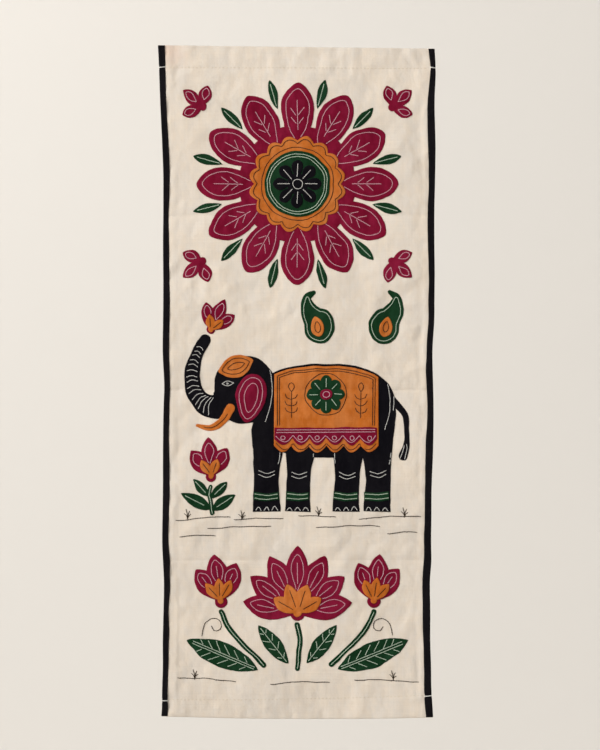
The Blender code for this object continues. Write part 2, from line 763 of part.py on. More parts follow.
def flowers_and_leaves():
    for row in SPRAYS:
        patch(row.name, spray(row), row.layer, row.cotton)
    for row in LEAVES:
        patch(row.name, leaf(row), 1, GREEN)
    for name, knots in STEMS.items():
        patch(name, limb(knots), 1, GREEN)
    patch("bush_leaves", merged([limb(BUSH_STEM), *(leaf(row, SMALL_POINTS) for row in BUSH_LEAVES)]), 1, GREEN)


# Paisleys: a round body and a curled tip, each with a drop-shaped eye
Paisley = namedtuple("Paisley", "x drop side")
PAISLEYS = (Paisley(30.0, 381.0, -1), Paisley(118.0, 381.0, 1))
PAISLEY_RADIUS = 21.0
PAISLEY_STRETCH = 1.15
CurlKnot = namedtuple("CurlKnot", "aside rise width")
PAISLEY_CURL = (CurlKnot(0, 0, 40), CurlKnot(14, 22, 25), CurlKnot(17, 38, 13), CurlKnot(8, 46, 6))
PAISLEY_EYE = Lobe(0, -14, 12, 28, 18, 0.7, 0.4)


def paisleys():
    for number, row in enumerate(PAISLEYS, start=1):
        curl = [(row.x + row.side * knot.aside, row.drop - knot.rise, knot.width) for knot in PAISLEY_CURL]
        body = ellipse(row.x, row.drop, PAISLEY_RADIUS, PAISLEY_RADIUS * PAISLEY_STRETCH, points=20)
        patch(f"paisley_{number}", merged([body, limb(curl)]), 1, GREEN)
        eye = petal(row.x, row.drop - PAISLEY_EYE.height, row.side * PAISLEY_EYE.heading, PAISLEY_EYE.length,
                    PAISLEY_EYE.width, PAISLEY_EYE.power, PAISLEY_EYE.peak)
        patch(f"paisley_eye_{number}", eye, 2, ORANGE)


def clear_scene():
    for item in list(bpy.data.objects):
        bpy.data.objects.remove(item)


clear_scene()
ground_cloth()
binding("left")
binding("right")
rosette()
elephant()
saddle()
paisleys()
flowers_and_leaves()
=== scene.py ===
"""Looks of the hanging applique panel: woven cloths, turned edges and hand stitches, under soft studio light.

Sizes are in millimetres: x to the right, drop downwards from the top edge, and forward towards the viewer.
place() turns them into metres in the shared frame."""

import math
from collections import namedtuple

import bpy
import numpy as np
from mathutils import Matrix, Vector
from mathutils.geometry import delaunay_2d_cdt
from mathutils.kdtree import KDTree


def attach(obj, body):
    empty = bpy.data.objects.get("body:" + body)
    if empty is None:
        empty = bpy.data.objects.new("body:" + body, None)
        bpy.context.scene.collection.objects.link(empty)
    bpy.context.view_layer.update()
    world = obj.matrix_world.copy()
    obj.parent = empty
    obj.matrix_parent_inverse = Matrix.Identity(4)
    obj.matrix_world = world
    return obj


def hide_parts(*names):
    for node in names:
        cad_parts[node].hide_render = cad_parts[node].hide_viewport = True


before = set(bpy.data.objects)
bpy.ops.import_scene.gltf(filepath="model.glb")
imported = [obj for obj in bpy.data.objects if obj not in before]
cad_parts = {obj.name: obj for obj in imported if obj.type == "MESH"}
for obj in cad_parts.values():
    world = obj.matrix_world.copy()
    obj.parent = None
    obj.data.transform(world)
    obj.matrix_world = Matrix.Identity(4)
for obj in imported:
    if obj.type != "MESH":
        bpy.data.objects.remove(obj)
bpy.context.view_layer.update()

MM = 0.001
rng = np.random.default_rng(11)
SEWN_CLOTHS = ("maroon", "orange", "green", "black")


def table(fields, *rows):
    """Rows of values with named fields."""
    kind = namedtuple("Row", fields)
    return [kind(*row) for row in rows]


def column(rows, name):
    return np.array([getattr(row, name) for row in rows], dtype=float)


# Overall size and hems
HEIGHT = 915.0
HALF_WIDTH = 184.0
TOP_SEAM = 28.6
BOTTOM_SEAM = 888.4
SEAMS = (TOP_SEAM, BOTTOM_SEAM)
TOP_HEM_END = 31.2
BOTTOM_HEM_END = 885.6
HEM_MIDDLES = (14.0, 901.5)
INWARD = {"left": 1, "right": -1}

# Side edges of the bound panel and the width of each binding, down the panel
EDGES = table(
    "drop left right left_binding right_binding",
    (0, -190.1, 187.0, 9.4, 8.0), (29, -188.5, 188.3, 8.6, 7.1), (72, -186.8, 186.8, 8.0, 9.1),
    (141, -183.7, 188.0, 8.5, 9.8), (171, -182.7, 187.6, 8.9, 8.3), (222, -182.7, 186.4, 7.4, 8.6),
    (269, -183.0, 186.3, 8.0, 8.6), (313, -182.7, 186.8, 8.1, 7.8), (345, -182.6, 186.5, 8.8, 8.0),
    (372, -182.8, 186.2, 8.6, 7.8), (413, -183.3, 183.8, 8.5, 7.9), (468, -181.4, 184.9, 7.5, 8.9),
    (487, -182.1, 185.2, 7.5, 8.1), (550, -183.0, 184.4, 7.9, 10.1), (604, -183.0, 182.4, 9.0, 8.6),
    (640, -183.5, 182.2, 8.5, 8.9), (683, -183.7, 182.0, 8.4, 9.4), (698, -182.9, 182.3, 9.0, 10.0),
    (727, -181.5, 180.3, 8.0, 10.0), (771, -182.1, 180.6, 7.0, 10.1), (809, -183.0, 180.4, 8.2, 9.3),
    (847, -182.8, 181.4, 7.1, 9.2), (880, -183.7, 181.8, 7.4, 9.6), (902, -183.9, 183.2, 7.8, 10.1),
    (915, -184.6, 184.1, 7.8, 9.6))

# How far the cloth stands forward of the plane of its top edge
LEAN = table("drop forward", (0, 0.0), (60, 1.2), (230, 2.0), (468, 2.2), (600, 3.2), (700, 5.0), (800, 8.5),
             (880, 12.0), (915, 13.0))

# Lengths between the storage creases, each bowed forward
SECTIONS = table("start end bow", (0, 230, 2.0), (230, 468, 1.6), (468, 700, 2.0), (700, 915, 1.6))

# Sway of the side edges, forward or back
SWAY = table("drop left right", (0, 0.0, 0.0), (120, 1.8, -0.8), (260, -1.4, 2.0), (400, 2.0, 0.4),
             (540, -1.0, 2.4), (680, 2.0, -0.8), (800, -1.2, 0.9), (915, 2.4, 2.6))
TOP_CALM = 60.0
SWAY_STARTS = 60.0
SWAY_FULL = 168.0

# Upright flutes puckered by the hem seams: where they start and are full, and each one
FLUTES = (
    (44.0, 28.2, table(
        "x half_width depth",
        (-157.4, 9.0, 1.2), (-134.2, 10.5, 1.4), (-112.4, 10.0, 1.3), (-90.5, 9.5, 1.5), (-72.8, 8.5, 1.1),
        (-44.2, 12.0, 1.5), (-19.6, 12.0, 1.2), (26.7, 13.0, 1.4), (54.0, 9.5, 1.3), (69.0, 7.5, 1.0),
        (86.7, 9.0, 1.5), (108.5, 11.0, 1.3), (140.0, 12.0, 1.1))),
    (868.0, 888.6, table(
        "x half_width depth",
        (-142.4, 15.0, 1.6), (-93.3, 17.0, 1.8), (-51.0, 15.0, 1.4), (-6.0, 14.0, 1.7), (32.2, 15.0, 1.4),
        (100.4, 12.0, 1.6), (122.2, 9.5, 1.3), (152.2, 13.0, 1.8))))
FLUTE_SHARE = 0.34

# How much lower a row of the cloth lies at the right edge than at the middle
TILTS = table("drop tilt", (0.0, 2.3), (28.2, 0.6), (31.2, 0.6), (37.0, 0.0), (868.0, 0.0), (885.6, -3.1),
              (888.6, -3.1), (HEIGHT, 0.8))
BOW_STARTS = 800.0
BOW_LEFT = 3.0
BOW_RIGHT = 3.2

# Soft troughs and ridges of the cloth, from one end to the other, as the photo shows them
FOLDS = table(
    "x drop to_x to_drop half_width rise",
    (-112, 297, -129, 352, 9, 1.0), (-112, 297, -80, 355, 9, 0.9), (104, 314, 105, 434, 8, 1.0),
    (126, 319, 126, 404, 8, -1.0), (152, 380, 153, 400, 9, 0.9), (-135, 483, -136, 584, 8, -0.9),
    (-120, 529, -121, 557, 6, 0.8), (-6, 557, -66, 606, 9, 0.9), (133, 543, 106, 592, 9, 0.9),
    (-63, 707, -62, 761, 9, -0.9), (-3, 848, -3, 905, 7, 0.9), (-164, 720, -165, 912, 2.6, 0.6),
    (-173, 33, -164, 22, 2.0, 0.6), (-167, 40, -162, 24, 2.0, -0.6), (-170, 52, -163, 46, 2.0, 0.5),
    (-176, 20, -170, 16, 2.0, -0.5), (141, 2, 158, 27, 4, -0.7), (150, 2, 166, 25, 4, 0.6),
    (-160, 60, -150, 128, 10, 0.8), (160, 96, 168, 160, 8, -0.8), (-10, 338, -30, 372, 8, 0.7),
    (20, 682, 60, 676, 7, 0.6), (-150, 610, -140, 690, 9, 0.7), (148, 660, 140, 742, 10, 0.8),
    (-20, 800, -60, 742, 8, 0.6), (120, 838, 92, 880, 8, 0.7), (133, 842, 147, 852, 4, 0.5),
    (152, 847, 163, 862, 4, 0.5), (140, 887, 158, 889, 2.2, 0.4), (-167, 10, -170, 36, 2.4, -0.4),
    (-163, 702, -163, 713, 1.9, -0.35), (-164, 741, -163, 754, 1.9, -0.4), (-163, 803, -164, 809, 1.9, -0.35),
    (-163, 836, -163, 844, 1.9, -0.35), (-164, 863, -163, 877, 1.9, -0.4))
FOLD_FADES_IN = (-0.15, 0.3)
FOLD_FADES_OUT = (1.15, 0.7)

# Storage creases: a sharp trough across the whole width
CREASES = table("drop depth", (230, 0.62), (468, 1.15), (700, 0.62))
CREASE_REACH = 2.4
CREASE_WANDER = 0.35

# Cloth beside the bindings: a low ridge and then a trough, at these distances in from the binding
BAND = "inset half_width rise"
SIDE_BANDS = {"left": table(BAND, (6.0, 4.0, 0.30), (13.0, 4.0, -0.22)),
              "right": table(BAND, (3.5, 2.6, 0.28), (9.5, 4.0, -0.30))}
BAND_STRENGTH, BAND_SWAY, BAND_MOST = 0.7, 0.35, 1.4
BAND_WAVES_AT = 60.0


def through(rows, name, drop):
    """A smooth curve through one column of a table, read at any drops."""
    drops, values = column(rows, "drop"), column(rows, name)
    slopes = np.gradient(values, drops)
    index = np.clip(np.searchsorted(drops, drop) - 1, 0, len(drops) - 2)
    span = drops[index + 1] - drops[index]
    t = np.clip((drop - drops[index]) / span, 0.0, 1.0)
    start = (1 + 2 * t) * (1 - t) ** 2 * values[index] + t * (1 - t) ** 2 * span * slopes[index]
    end = t**2 * (3 - 2 * t) * values[index + 1] - t**2 * (1 - t) * span * slopes[index + 1]
    return start + end


def ease(value, start, end):
    """Rises smoothly from 0 at start to 1 at end."""
    t = np.clip((value - start) / (end - start), 0.0, 1.0)
    return t * t * (3 - 2 * t)


def lower_by(drop, x):
    """How much lower a row of the cloth lies at x: rows tilt, and the bottom ones bow up at both sides."""
    across = x / HALF_WIDTH
    bow = np.where(np.asarray(x) < 0, BOW_LEFT, BOW_RIGHT) * ease(drop, BOW_STARTS, HEIGHT)
    return np.interp(drop, column(TILTS, "drop"), column(TILTS, "tilt")) * across - bow * across**2


# Maps of the panel: grids of values a millimetre apart, read between their points
MAP_X = np.arange(-196.0, 196.5)
MAP_DROP = np.arange(-6.0, 921.5)

# Kept free at the far edges of a map, so that each point read has a next one
MAP_ROOM = 1.001

# Ripples: how many make up one unevenness, and the least and most of their pitches, as shares
RIPPLES = 12
RIPPLE_PITCHES = (0.7, 1.5)


def read(chart, x, drop):
    """A map's value at any points."""
    across = np.clip(x - MAP_X[0], 0, len(MAP_X) - MAP_ROOM)
    down = np.clip(drop - MAP_DROP[0], 0, len(MAP_DROP) - MAP_ROOM)
    i, j = across.astype(int), down.astype(int)
    u, v = across - i, down - j
    upper = (1 - u) * chart[j, i] + u * chart[j, i + 1]
    return (1 - v) * upper + v * ((1 - u) * chart[j + 1, i] + u * chart[j + 1, i + 1])


def nearest_cell(x, drop):
    """Row and column numbers of the map's points nearest to some points."""
    i = np.clip(np.rint(x - MAP_X[0]).astype(int), 0, len(MAP_X) - 1)
    j = np.clip(np.rint(drop - MAP_DROP[0]).astype(int), 0, len(MAP_DROP) - 1)
    return j, i


def cells_around(points, reach):
    """The cells of the map within a reach of each point, and how far each lies from it."""
    x, drop = points.T[:, :, None, None]
    offsets = np.arange(-reach, reach + 1)
    j, i = nearest_cell(x, drop)
    rows = np.clip(j + offsets[:, None], 0, len(MAP_DROP) - 1)
    columns = np.clip(i + offsets, 0, len(MAP_X) - 1)
    return (rows, columns), MAP_X[columns] - x, MAP_DROP[rows] - drop


def waves(pitch):
    """Random ripples of about one pitch: rates along x and along the drop, and phases."""
    rows = []
    for _ in range(RIPPLES):
        turn = rng.uniform(0, 2 * math.pi)
        rate = 2 * math.pi / (pitch * rng.uniform(*RIPPLE_PITCHES))
        rows.append((rate * math.cos(turn), rate * math.sin(turn), rng.uniform(0, 2 * math.pi)))
    return rows


def uneven(rows, x, drop):
    """Ripples added up to smooth unevenness, mostly between -2 and 2."""
    total = sum(np.cos(along_x * x + along_drop * drop + phase) for along_x, along_drop, phase in rows)
    return total / math.sqrt(len(rows) / 2)


# Crumples: flat facets that meet in soft folds, taller than they are wide, as rows of pitch and rise
CRUMPLE_SIZES = ((84.0, 0.48), (60.0, -0.40), (40.0, 0.28), (30.0, -0.165), (21.0, 0.100), (15.0, -0.068),
                 (11.0, 0.048))
CRUMPLES = [(waves(pitch), rise) for pitch, rise in CRUMPLE_SIZES]
CRUMPLE_STRETCH = 0.80
BROAD_WAVES = waves(150.0)
BROAD_RISE = 0.65
CREASE_WAVES = waves(45.0)
CUT_WAVES = (waves(30.0), waves(30.0))
HAND_WAVES = (waves(9.0), waves(9.0))
CUT_SWAY = 0.38
HAND_SWAY = 0.11


def by_hand(points):
    """Points moved a little, because cloth cut and sewn by hand is never quite true."""
    points = np.asarray(points, dtype=float)
    shifts = [CUT_SWAY * uneven(cut_waves, *points.T) + HAND_SWAY * uneven(hand_waves, *points.T)
              for cut_waves, hand_waves in zip(CUT_WAVES, HAND_WAVES)]
    return points + np.column_stack(shifts)


# Outlines: steps along curves, least counts of points, and the powers, peaks and shares of petal shapes
PETAL_STEP = 1.5
PETAL_POINTS, OVAL_POINTS = 10, 12
SCALLOP_POINTS = 12
CAP_POINTS = 10
CURVE_STEPS = 10
ROUND = 0.6
POINTED = 0.78
HEART_SHARE = 0.3
SPRAY_PEAK = 0.56
LEAF_PEAK = 0.5
PETAL_PEAK = 0.6
DISC_SHARE = 0.6
SNAP = 0.001


def headings(turns):
    """Flat directions at these turns."""
    return np.column_stack([np.cos(turns), np.sin(turns)])


def ahead(point, heading, length, aside=0.0):
    """The point at a length along a heading, in degrees clockwise from upwards, and aside to its right."""
    turn = math.radians(heading)
    return (point[0] + length * math.sin(turn) + aside * math.cos(turn),
            point[1] - length * math.cos(turn) + aside * math.sin(turn))


def ray(root, heading, start, end):
    """A straight line along a heading, between two lengths from its root."""
    return [ahead(root, heading, start), ahead(root, heading, end)]


def rays(centre, count, start, end):
    """Straight lines spread evenly round a centre."""
    return [ray(centre, 360 * k / count, start, end) for k in range(count)]


def slants(root, heading, onward, gap, turn, length):
    """Two short lines that slant away from a line, one on each side."""
    starts = [(side, ahead(root, heading, onward, side * gap)) for side in (-1, 1)]
    return [ray(start, heading + side * turn, 0, length) for side, start in starts]


def ellipse(x, drop, half_width, half_height, boxy=2.0, step=PETAL_STEP):
    """A closed oval, squarer as boxy grows past 2."""
    points = max(OVAL_POINTS, round(math.pi * (half_width + half_height) / step))
    waves_round = headings(2 * math.pi * np.arange(points) / points)
    return (x, drop) + np.sign(waves_round) * np.abs(waves_round) ** (2 / boxy) * (half_width, half_height)


def circle(centre, radius):
    return ellipse(*centre, radius, radius)


def petal(x, drop, heading, length, width, power=ROUND, peak=PETAL_PEAK):
    """A petal or leaf from its root, widest at peak along its length."""
    points = max(PETAL_POINTS, round(length / PETAL_STEP))
    shares = 0.5 - 0.5 * np.cos(math.pi * np.arange(points + 1) / points)
    half = width / 2 * np.sin(math.pi * shares ** (math.log(0.5) / math.log(peak))) ** power
    onward = np.append(shares[:-1], shares[:0:-1]) * length
    aside = np.append(half[:-1], -half[:0:-1])
    return np.column_stack(ahead((x, drop), heading, onward, aside))


def catmull(rows, steps=CURVE_STEPS):
    """Points along a smooth open curve through rows of numbers."""
    rows = np.array(rows, dtype=float)
    knots = np.vstack([2 * rows[0] - rows[1], rows, 2 * rows[-1] - rows[-2]])
    t = np.arange(steps)[:, None] / steps
    spans = [0.5 * (2 * b + (c - a) * t + (2 * a - 5 * b + 4 * c - d) * t**2 + (3 * b - a - 3 * c + d) * t**3)
             for a, b, c, d in zip(knots, knots[1:], knots[2:], knots[3:])]
    return np.vstack([*spans, rows[-1]])


def unit(ways):
    """Flat directions with a length of 1."""
    return ways / np.hypot(*ways.T)[:, None]


def quarter_turn(ways):
    return np.column_stack([-ways[:, 1], ways[:, 0]])


def cap(end, way, sign):
    """The round end of a stroke, from its left side to its right side, or back again at its start."""
    turns = math.pi * np.arange(1, CAP_POINTS) / CAP_POINTS
    across, onward = headings(turns).T[:, :, None] * sign * end[2] / 2
    return end[:2] + onward * way - across * quarter_turn(way[None])


def limb(rows, flat_end=False):
    """A stroke through rows of x, drop and width, round at its start, and round or flat at its end."""
    curve = catmull(rows)
    middle = curve[:, :2]
    ends = np.vstack([middle[:1], middle, middle[-1:]])
    way = unit(ends[2:] - ends[:-2])
    aside = quarter_turn(way) * curve[:, 2:] / 2
    end_cap = [] if flat_end else [cap(curve[-1], way[-1], 1)]
    return np.vstack([middle - aside, *end_cap, (middle + aside)[::-1], cap(curve[0], way[0], -1)])


def flower(x, drop, count, inner, outer, width):
    """A ring of petals on a disc of radius inner, cut in one piece."""
    root = inner * DISC_SHARE
    petals = [petal(*ahead((x, drop), heading, root), heading, outer - root, width)
              for heading in (360 * k / count for k in range(count))]
    return merged([circle((x, drop), inner), *petals])


def spray_petals(row):
    """Heading and length of each petal of a spray, the outer ones shorter than the middle one."""
    for k in range(row.petals):
        share = 2 * k / (row.petals - 1) - 1
        yield row.heading + share * row.spread, row.length * (1 + (row.outer_length - 1) * abs(share))


def spray(row):
    """Petals spread evenly from one root, cut in one piece."""
    petals = [petal(row.x, row.drop, heading, length, row.width, POINTED, SPRAY_PEAK)
              for heading, length in spray_petals(row)]
    return merged([circle((row.x, row.drop), row.width * HEART_SHARE), *petals])


def scalloped(x, drop, radius, count, depth):
    """A round outline with a scalloped rim."""
    turns = 2 * math.pi * np.arange(count * SCALLOP_POINTS) / (count * SCALLOP_POINTS)
    reach = radius - depth * (1 - np.abs(np.sin(turns * count / 2)))
    return np.column_stack([x + reach * np.sin(turns), drop - reach * np.cos(turns)])


def turned(outline):
    """The outline in the direction that gives a positive area."""
    points = np.asarray(outline, dtype=float)
    following = np.roll(points, -1, axis=0)
    area = (points[:, 0] * following[:, 1] - following[:, 0] * points[:, 1]).sum()
    return points if area > 0 else points[::-1]


def border(faces):
    """The directed edges that only one face has."""
    directed = {edge for face in faces for edge in zip(face, face[1:] + face[:1])}
    return [(a, b) for a, b in directed if (b, a) not in directed]


def merged(outlines):
    """The outer outline of overlapping outlines."""
    corners, loops = [], []
    for outline in outlines:
        loops.append(list(range(len(corners), len(corners) + len(outline))))
        corners += [Vector(point) for point in turned(outline)]
    places, _, faces, _, _, sources = delaunay_2d_cdt(corners, [], loops, 1, SNAP)
    following = dict(border([face for face, source in zip(faces, sources) if source]))
    rims = []
    while following:
        start, here = following.popitem()
        rim = [start]
        while here != start:
            rim.append(here)
            here = following.pop(here)
        rims.append(rim)
    return [tuple(places[number]) for number in max(rims, key=len)]


# Design: every cut piece, and every line of stitches with the piece it is sewn on
Piece = namedtuple("Piece", "name outline layer cloth")
Line = namedtuple("Line", "on thread points closed")
THREAD_ON = {"maroon": "pink", "green": "mint", "orange": "brown", "black": "white", "cream": "dark"}
CLOTHS = {"ground_cloth": "cream"}
PIECES = []
LINES = []


def cut(name, outline, layer, cloth):
    PIECES.append(Piece(name, turned(by_hand(outline)), layer, cloth))
    CLOTHS[name] = cloth


def sew(on, *lines, closed=False):
    """Lines of stitches on one piece, in the thread that goes with its cloth."""
    LINES.extend(Line(on, THREAD_ON[CLOTHS[on]], by_hand(points), closed) for points in lines)


# Rosette: counts, radii and widths
ROSETTE = (0.0, 187.0)
ROSETTE_PETALS = 12
ROSETTE_INNER, ROSETTE_RADIUS, PETAL_WIDTH = 80.0, 138.0, 46.0
FRILL_RADIUS, FRILL_SCALLOPS, FRILL_DEPTH = 66.0, 16, 7.0
DISC_RADIUS = 45.0
HEART_RADIUS, HEART_PETALS = 33.0, 8
HEART_DISC, HEART_PETAL_WIDTH = HEART_RADIUS * 0.45, HEART_RADIUS * 0.5
LEAF_ROOT, LEAF_LENGTH, LEAF_WIDTH, ROSETTE_LEAF_PEAK = 106.0, 41.0, 13.0, 0.55

# Stitched lines of the rosette, by their distances from its middle
ARCH_ROOT, ARCH_END, ARCH_WIDTH = 58.0, 130.0, 33.0
PETAL_VEIN = (74.0, 114.0)
SIDE_VEINS, SIDE_VEIN_TURN = ((82.0, 11.0), (94.0, 12.0)), 38
VEIN_GAP = 1.6
LEAF_VEIN = (4, LEAF_LENGTH - 6)
FRILL_LINE_RADIUS = FRILL_RADIUS - 5
FRILL_CIRCLE = 49.5
DISC_CIRCLES = (41.0, 37.5)
HEART_CIRCLE = 7.0
HEART_VEIN = (10.5, 27.0)


def rosette():
    petals = flower(*ROSETTE, ROSETTE_PETALS, ROSETTE_INNER, ROSETTE_RADIUS, PETAL_WIDTH)
    cut("rosette_petals", petals, 1, "maroon")
    cut("rosette_frill", scalloped(*ROSETTE, FRILL_RADIUS, FRILL_SCALLOPS, FRILL_DEPTH), 2, "orange")
    cut("rosette_disc", circle(ROSETTE, DISC_RADIUS), 3, "green")
    heart = flower(*ROSETTE, HEART_PETALS, HEART_DISC, HEART_RADIUS, HEART_PETAL_WIDTH)
    cut("rosette_heart", heart, 4, "black")
    for k in range(ROSETTE_PETALS):
        heading = 360 * k / ROSETTE_PETALS
        arch = petal(*ahead(ROSETTE, heading, ARCH_ROOT), heading, ARCH_END - ARCH_ROOT, ARCH_WIDTH)
        sew("rosette_petals", arch, closed=True)
        sew("rosette_petals", ray(ROSETTE, heading, *PETAL_VEIN))
        for radius, length in SIDE_VEINS:
            sew("rosette_petals", *slants(ROSETTE, heading, radius, VEIN_GAP, SIDE_VEIN_TURN, length))
        heading += 180 / ROSETTE_PETALS
        root = ahead(ROSETTE, heading, LEAF_ROOT)
        name = f"rosette_leaf_{k + 1:02d}"
        cut(name, petal(*root, heading, LEAF_LENGTH, LEAF_WIDTH, POINTED, ROSETTE_LEAF_PEAK), 1, "green")
        sew(name, ray(root, heading, *LEAF_VEIN))
    scallops = scalloped(*ROSETTE, FRILL_LINE_RADIUS, FRILL_SCALLOPS, FRILL_DEPTH - 1)
    sew("rosette_frill", scallops, circle(ROSETTE, FRILL_CIRCLE), closed=True)
    sew("rosette_disc", *(circle(ROSETTE, radius) for radius in DISC_CIRCLES), closed=True)
    sew("rosette_heart", circle(ROSETTE, HEART_CIRCLE), closed=True)
    sew("rosette_heart", *rays(ROSETTE, HEART_PETALS, *HEART_VEIN))


# Elephant: ovals by place, half sizes and boxiness, and limbs as rows of x, height above the feet and width
ELEPHANT_X, ELEPHANT_FEET = 12.0, 634.0
BODY = (24, 138, 98, 64, 2.5)
HEAD = (-84, 166, 42, 46, 2.2)
TRUNK = ((-98, 160, 52), (-124, 144, 34), (-146, 154, 26), (-156, 182, 21), (-150, 212, 17), (-138, 234, 15))
TUSK = ((-104, 141, 12), (-114, 124, 12), (-131, 114, 9), (-149, 118, 4))
TAIL = ((112, 158, 12), (134, 132, 8), (137, 100, 7), (132, 76, 12))
LEGS = (
    ((-50, 110, 50), (-54, 56, 35), (-54, 0, 37)),
    ((-6, 100, 46), (-10, 54, 33), (-12, 0, 35)),
    ((58, 100, 50), (56, 54, 34), (54, 0, 36)),
    ((92, 116, 58), (98, 56, 35), (96, 0, 37)))

# Ear and cap, and the lines on them, as petals: x, height, heading, length, width, power and peak
EAR = (-70, 188, 190, 68, 42, 0.6, 0.4)
EAR_LINES = ((-71, 183, 190, 58, 31, 0.6, 0.4), (-72, 175, 190, 40, 17, 0.6, 0.4))
CAP = (-72, 206, 252, 50, 30, 0.75, 0.5)
CAP_LINES = ((-77, 204.5, 252, 40, 20, 0.75, 0.5), (-84, 202, 252, 25, 8, 0.75, 0.5))
ANKLET_LOW, ANKLET_HIGH = 16.5, 27.5
ANKLET_SAG = 2.0
ANKLET_MARGIN = 1.5
ANKLET_LINE_INSET = 2.6
TOES = (-11, 0, 11)

# Lines of the elephant's eye, body and tail, as rows of x and height
BODY_LINES = (
    ((-115, 175), (-107, 179), (-99, 176)),
    ((-115, 175), (-107, 172), (-99, 176)),
    ((-50, 196), (-47, 176), (-48, 150), (-56, 122)),
    ((104, 190), (113, 166), (114, 140), (107, 112)),
    ((111, 184), (119, 162), (119, 138)),
    ((-74, 98), (-72, 84), (-72, 66)),
    ((-34, 92), (-36, 78), (-38, 66)),
    ((10, 80), (9, 70), (7, 62)),
    ((38, 82), (39, 72), (40, 62)),
    ((118, 96), (116, 80), (114, 66)),
    ((133, 92), (131, 82), (128, 73)),
    ((136, 92), (136, 82), (134, 72)))
PUPIL, PUPIL_RADIUS, PUPIL_STEP = (-107, 175.5), 1.4, 0.8

# Rings of the trunk: how many, steps of the trunk's curve, and those left free at its root and in all
TRUNK_RINGS, TRUNK_STEPS, TRUNK_ROOT, TRUNK_FREE = 15, 20, 26, 32

# How far a ring bends at its ends and in its middle, and its margin
RING_BEND, RING_MARGIN = (-1.5, 1.0), 3.2

# Toes of a leg: half width, and height at the ends and in the middle
TOE_HALF, TOE_FOOT, TOE_TOP = 4, 1.2, 7

# Folds of a knee: half width, how far they sag, and how far below the knee they lie
KNEE_HALF, KNEE_SAG, KNEE_FOLDS = 11, 4, (0, 5)


def spot(x, height):
    """A point of the elephant on the panel."""
    return (ELEPHANT_X + x, ELEPHANT_FEET - height)


def spots(rows):
    """Rows of x, height and anything more, with x and drop on the panel."""
    return [(*spot(*row[:2]), *row[2:]) for row in rows]


def arc(x, half, height, rise):
    """A line across the elephant that rises in its middle."""
    return catmull(spots([(x - half, height), (x, height + rise), (x + half, height)]))


def across_leg(leg, height, margin):
    """A line across a leg's foot, sagging a little in the middle."""
    x, _, width = leg[-1]
    return arc(x, width / 2 - margin, height, -ANKLET_SAG)


def elephant():
    outlines = [ellipse(*spot(*oval[:2]), *oval[2:]) for oval in (BODY, HEAD)]
    outlines += [limb(spots(rows), flat_end=rows in LEGS) for rows in (TRUNK, TAIL, *LEGS)]
    cut("elephant_body", merged(outlines), 1, "black")
    cut("elephant_ear", petal(*spots([EAR])[0]), 2, "maroon")
    cut("elephant_cap", petal(*spots([CAP])[0]), 2, "orange")
    cut("elephant_tusk", limb(spots(TUSK)), 2, "orange")
    for number, leg in enumerate(LEGS, start=1):
        low, high = (across_leg(leg, height, ANKLET_MARGIN) for height in (ANKLET_LOW, ANKLET_HIGH))
        cut(f"anklet_{number}", np.vstack([low, high[::-1]]), 2, "green")
        for height in (ANKLET_LOW + ANKLET_LINE_INSET, ANKLET_HIGH - ANKLET_LINE_INSET):
            sew(f"anklet_{number}", across_leg(leg, height, ANKLET_MARGIN + 0.5))
        foot, (x, knee, _) = leg[-1][0], leg[1]
        arcs = [arc(foot + toe, TOE_HALF, TOE_FOOT, TOE_TOP - TOE_FOOT) for toe in TOES]
        arcs += [arc(x, KNEE_HALF, knee - down, -KNEE_SAG) for down in KNEE_FOLDS]
        sew("elephant_body", *arcs)
    for piece, lines in (("elephant_ear", EAR_LINES), ("elephant_cap", CAP_LINES)):
        sew(piece, *(petal(*row) for row in spots(lines)), closed=True)
    sew("elephant_tusk", catmull(spots(TUSK))[4:-5, :2])


def face_and_body():
    sew("elephant_body", *(catmull(spots(row)) for row in BODY_LINES))
    pupil = ellipse(*spot(*PUPIL), PUPIL_RADIUS, PUPIL_RADIUS, step=PUPIL_STEP)
    sew("elephant_body", pupil, closed=True)
    trunk = catmull(spots(TRUNK), TRUNK_STEPS)
    for k in range(TRUNK_RINGS):
        index = TRUNK_ROOT + k * (len(trunk) - TRUNK_FREE) // TRUNK_RINGS
        (x, drop, width), after = trunk[index], trunk[index + 1]
        heading = math.degrees(math.atan2(after[0] - x, drop - after[1]))
        reach = width / 2 - RING_MARGIN
        bends = ((RING_BEND[0], -reach), (RING_BEND[1], 0), (RING_BEND[0], reach))
        sew("elephant_body", catmull([ahead((x, drop), heading, onward, aside) for onward, aside in bends]))


# Saddle cloth, its border and flower, by x and height above the feet, and points along its top
SADDLE_LEFT, SADDLE_RIGHT, SADDLE_HEM = -44.0, 98.0, 90.0
TOP_POINTS, TOP_LINE_POINTS = 60, 40
SADDLE_MARGIN = 3.0
SADDLE_SCALLOPS, SADDLE_SCALLOP_DEPTH = 6, 9.0
BORDER_RAISE, BORDER_TOP, BORDER_INSET = 10.0, 115.0, 1.0
SADDLE_FLOWER_AT, SADDLE_FLOWER_PETALS = (27, 160), 8
SADDLE_FLOWER_RADII, SADDLE_PETAL_WIDTH = (13.0, 26.0), 15.6
SADDLE_EYE_RADIUS = 8.0

# Stitched lines of the saddle cloth
SADDLE_EYE_CIRCLE, SADDLE_CIRCLE = 4.6, 28.3
SADDLE_VEIN = (10.5, 21.5)
SADDLE_LINE_INSETS = (4.2, 7.4)
BORDER_LINE_DROPS = (2.8, 6.2)
SADDLE_HEM_LINE, BORDER_HEM_LINE = (3.4, 3), (BORDER_RAISE + 4, BORDER_INSET + 2)
BEAD_RAISE, BEAD_RADIUS = BORDER_RAISE + 0.6, 3.0
SPRIG_XS, SPRIG_FOOT, SPRIG_HEIGHT = (-20.5, 74.5), 128, 48

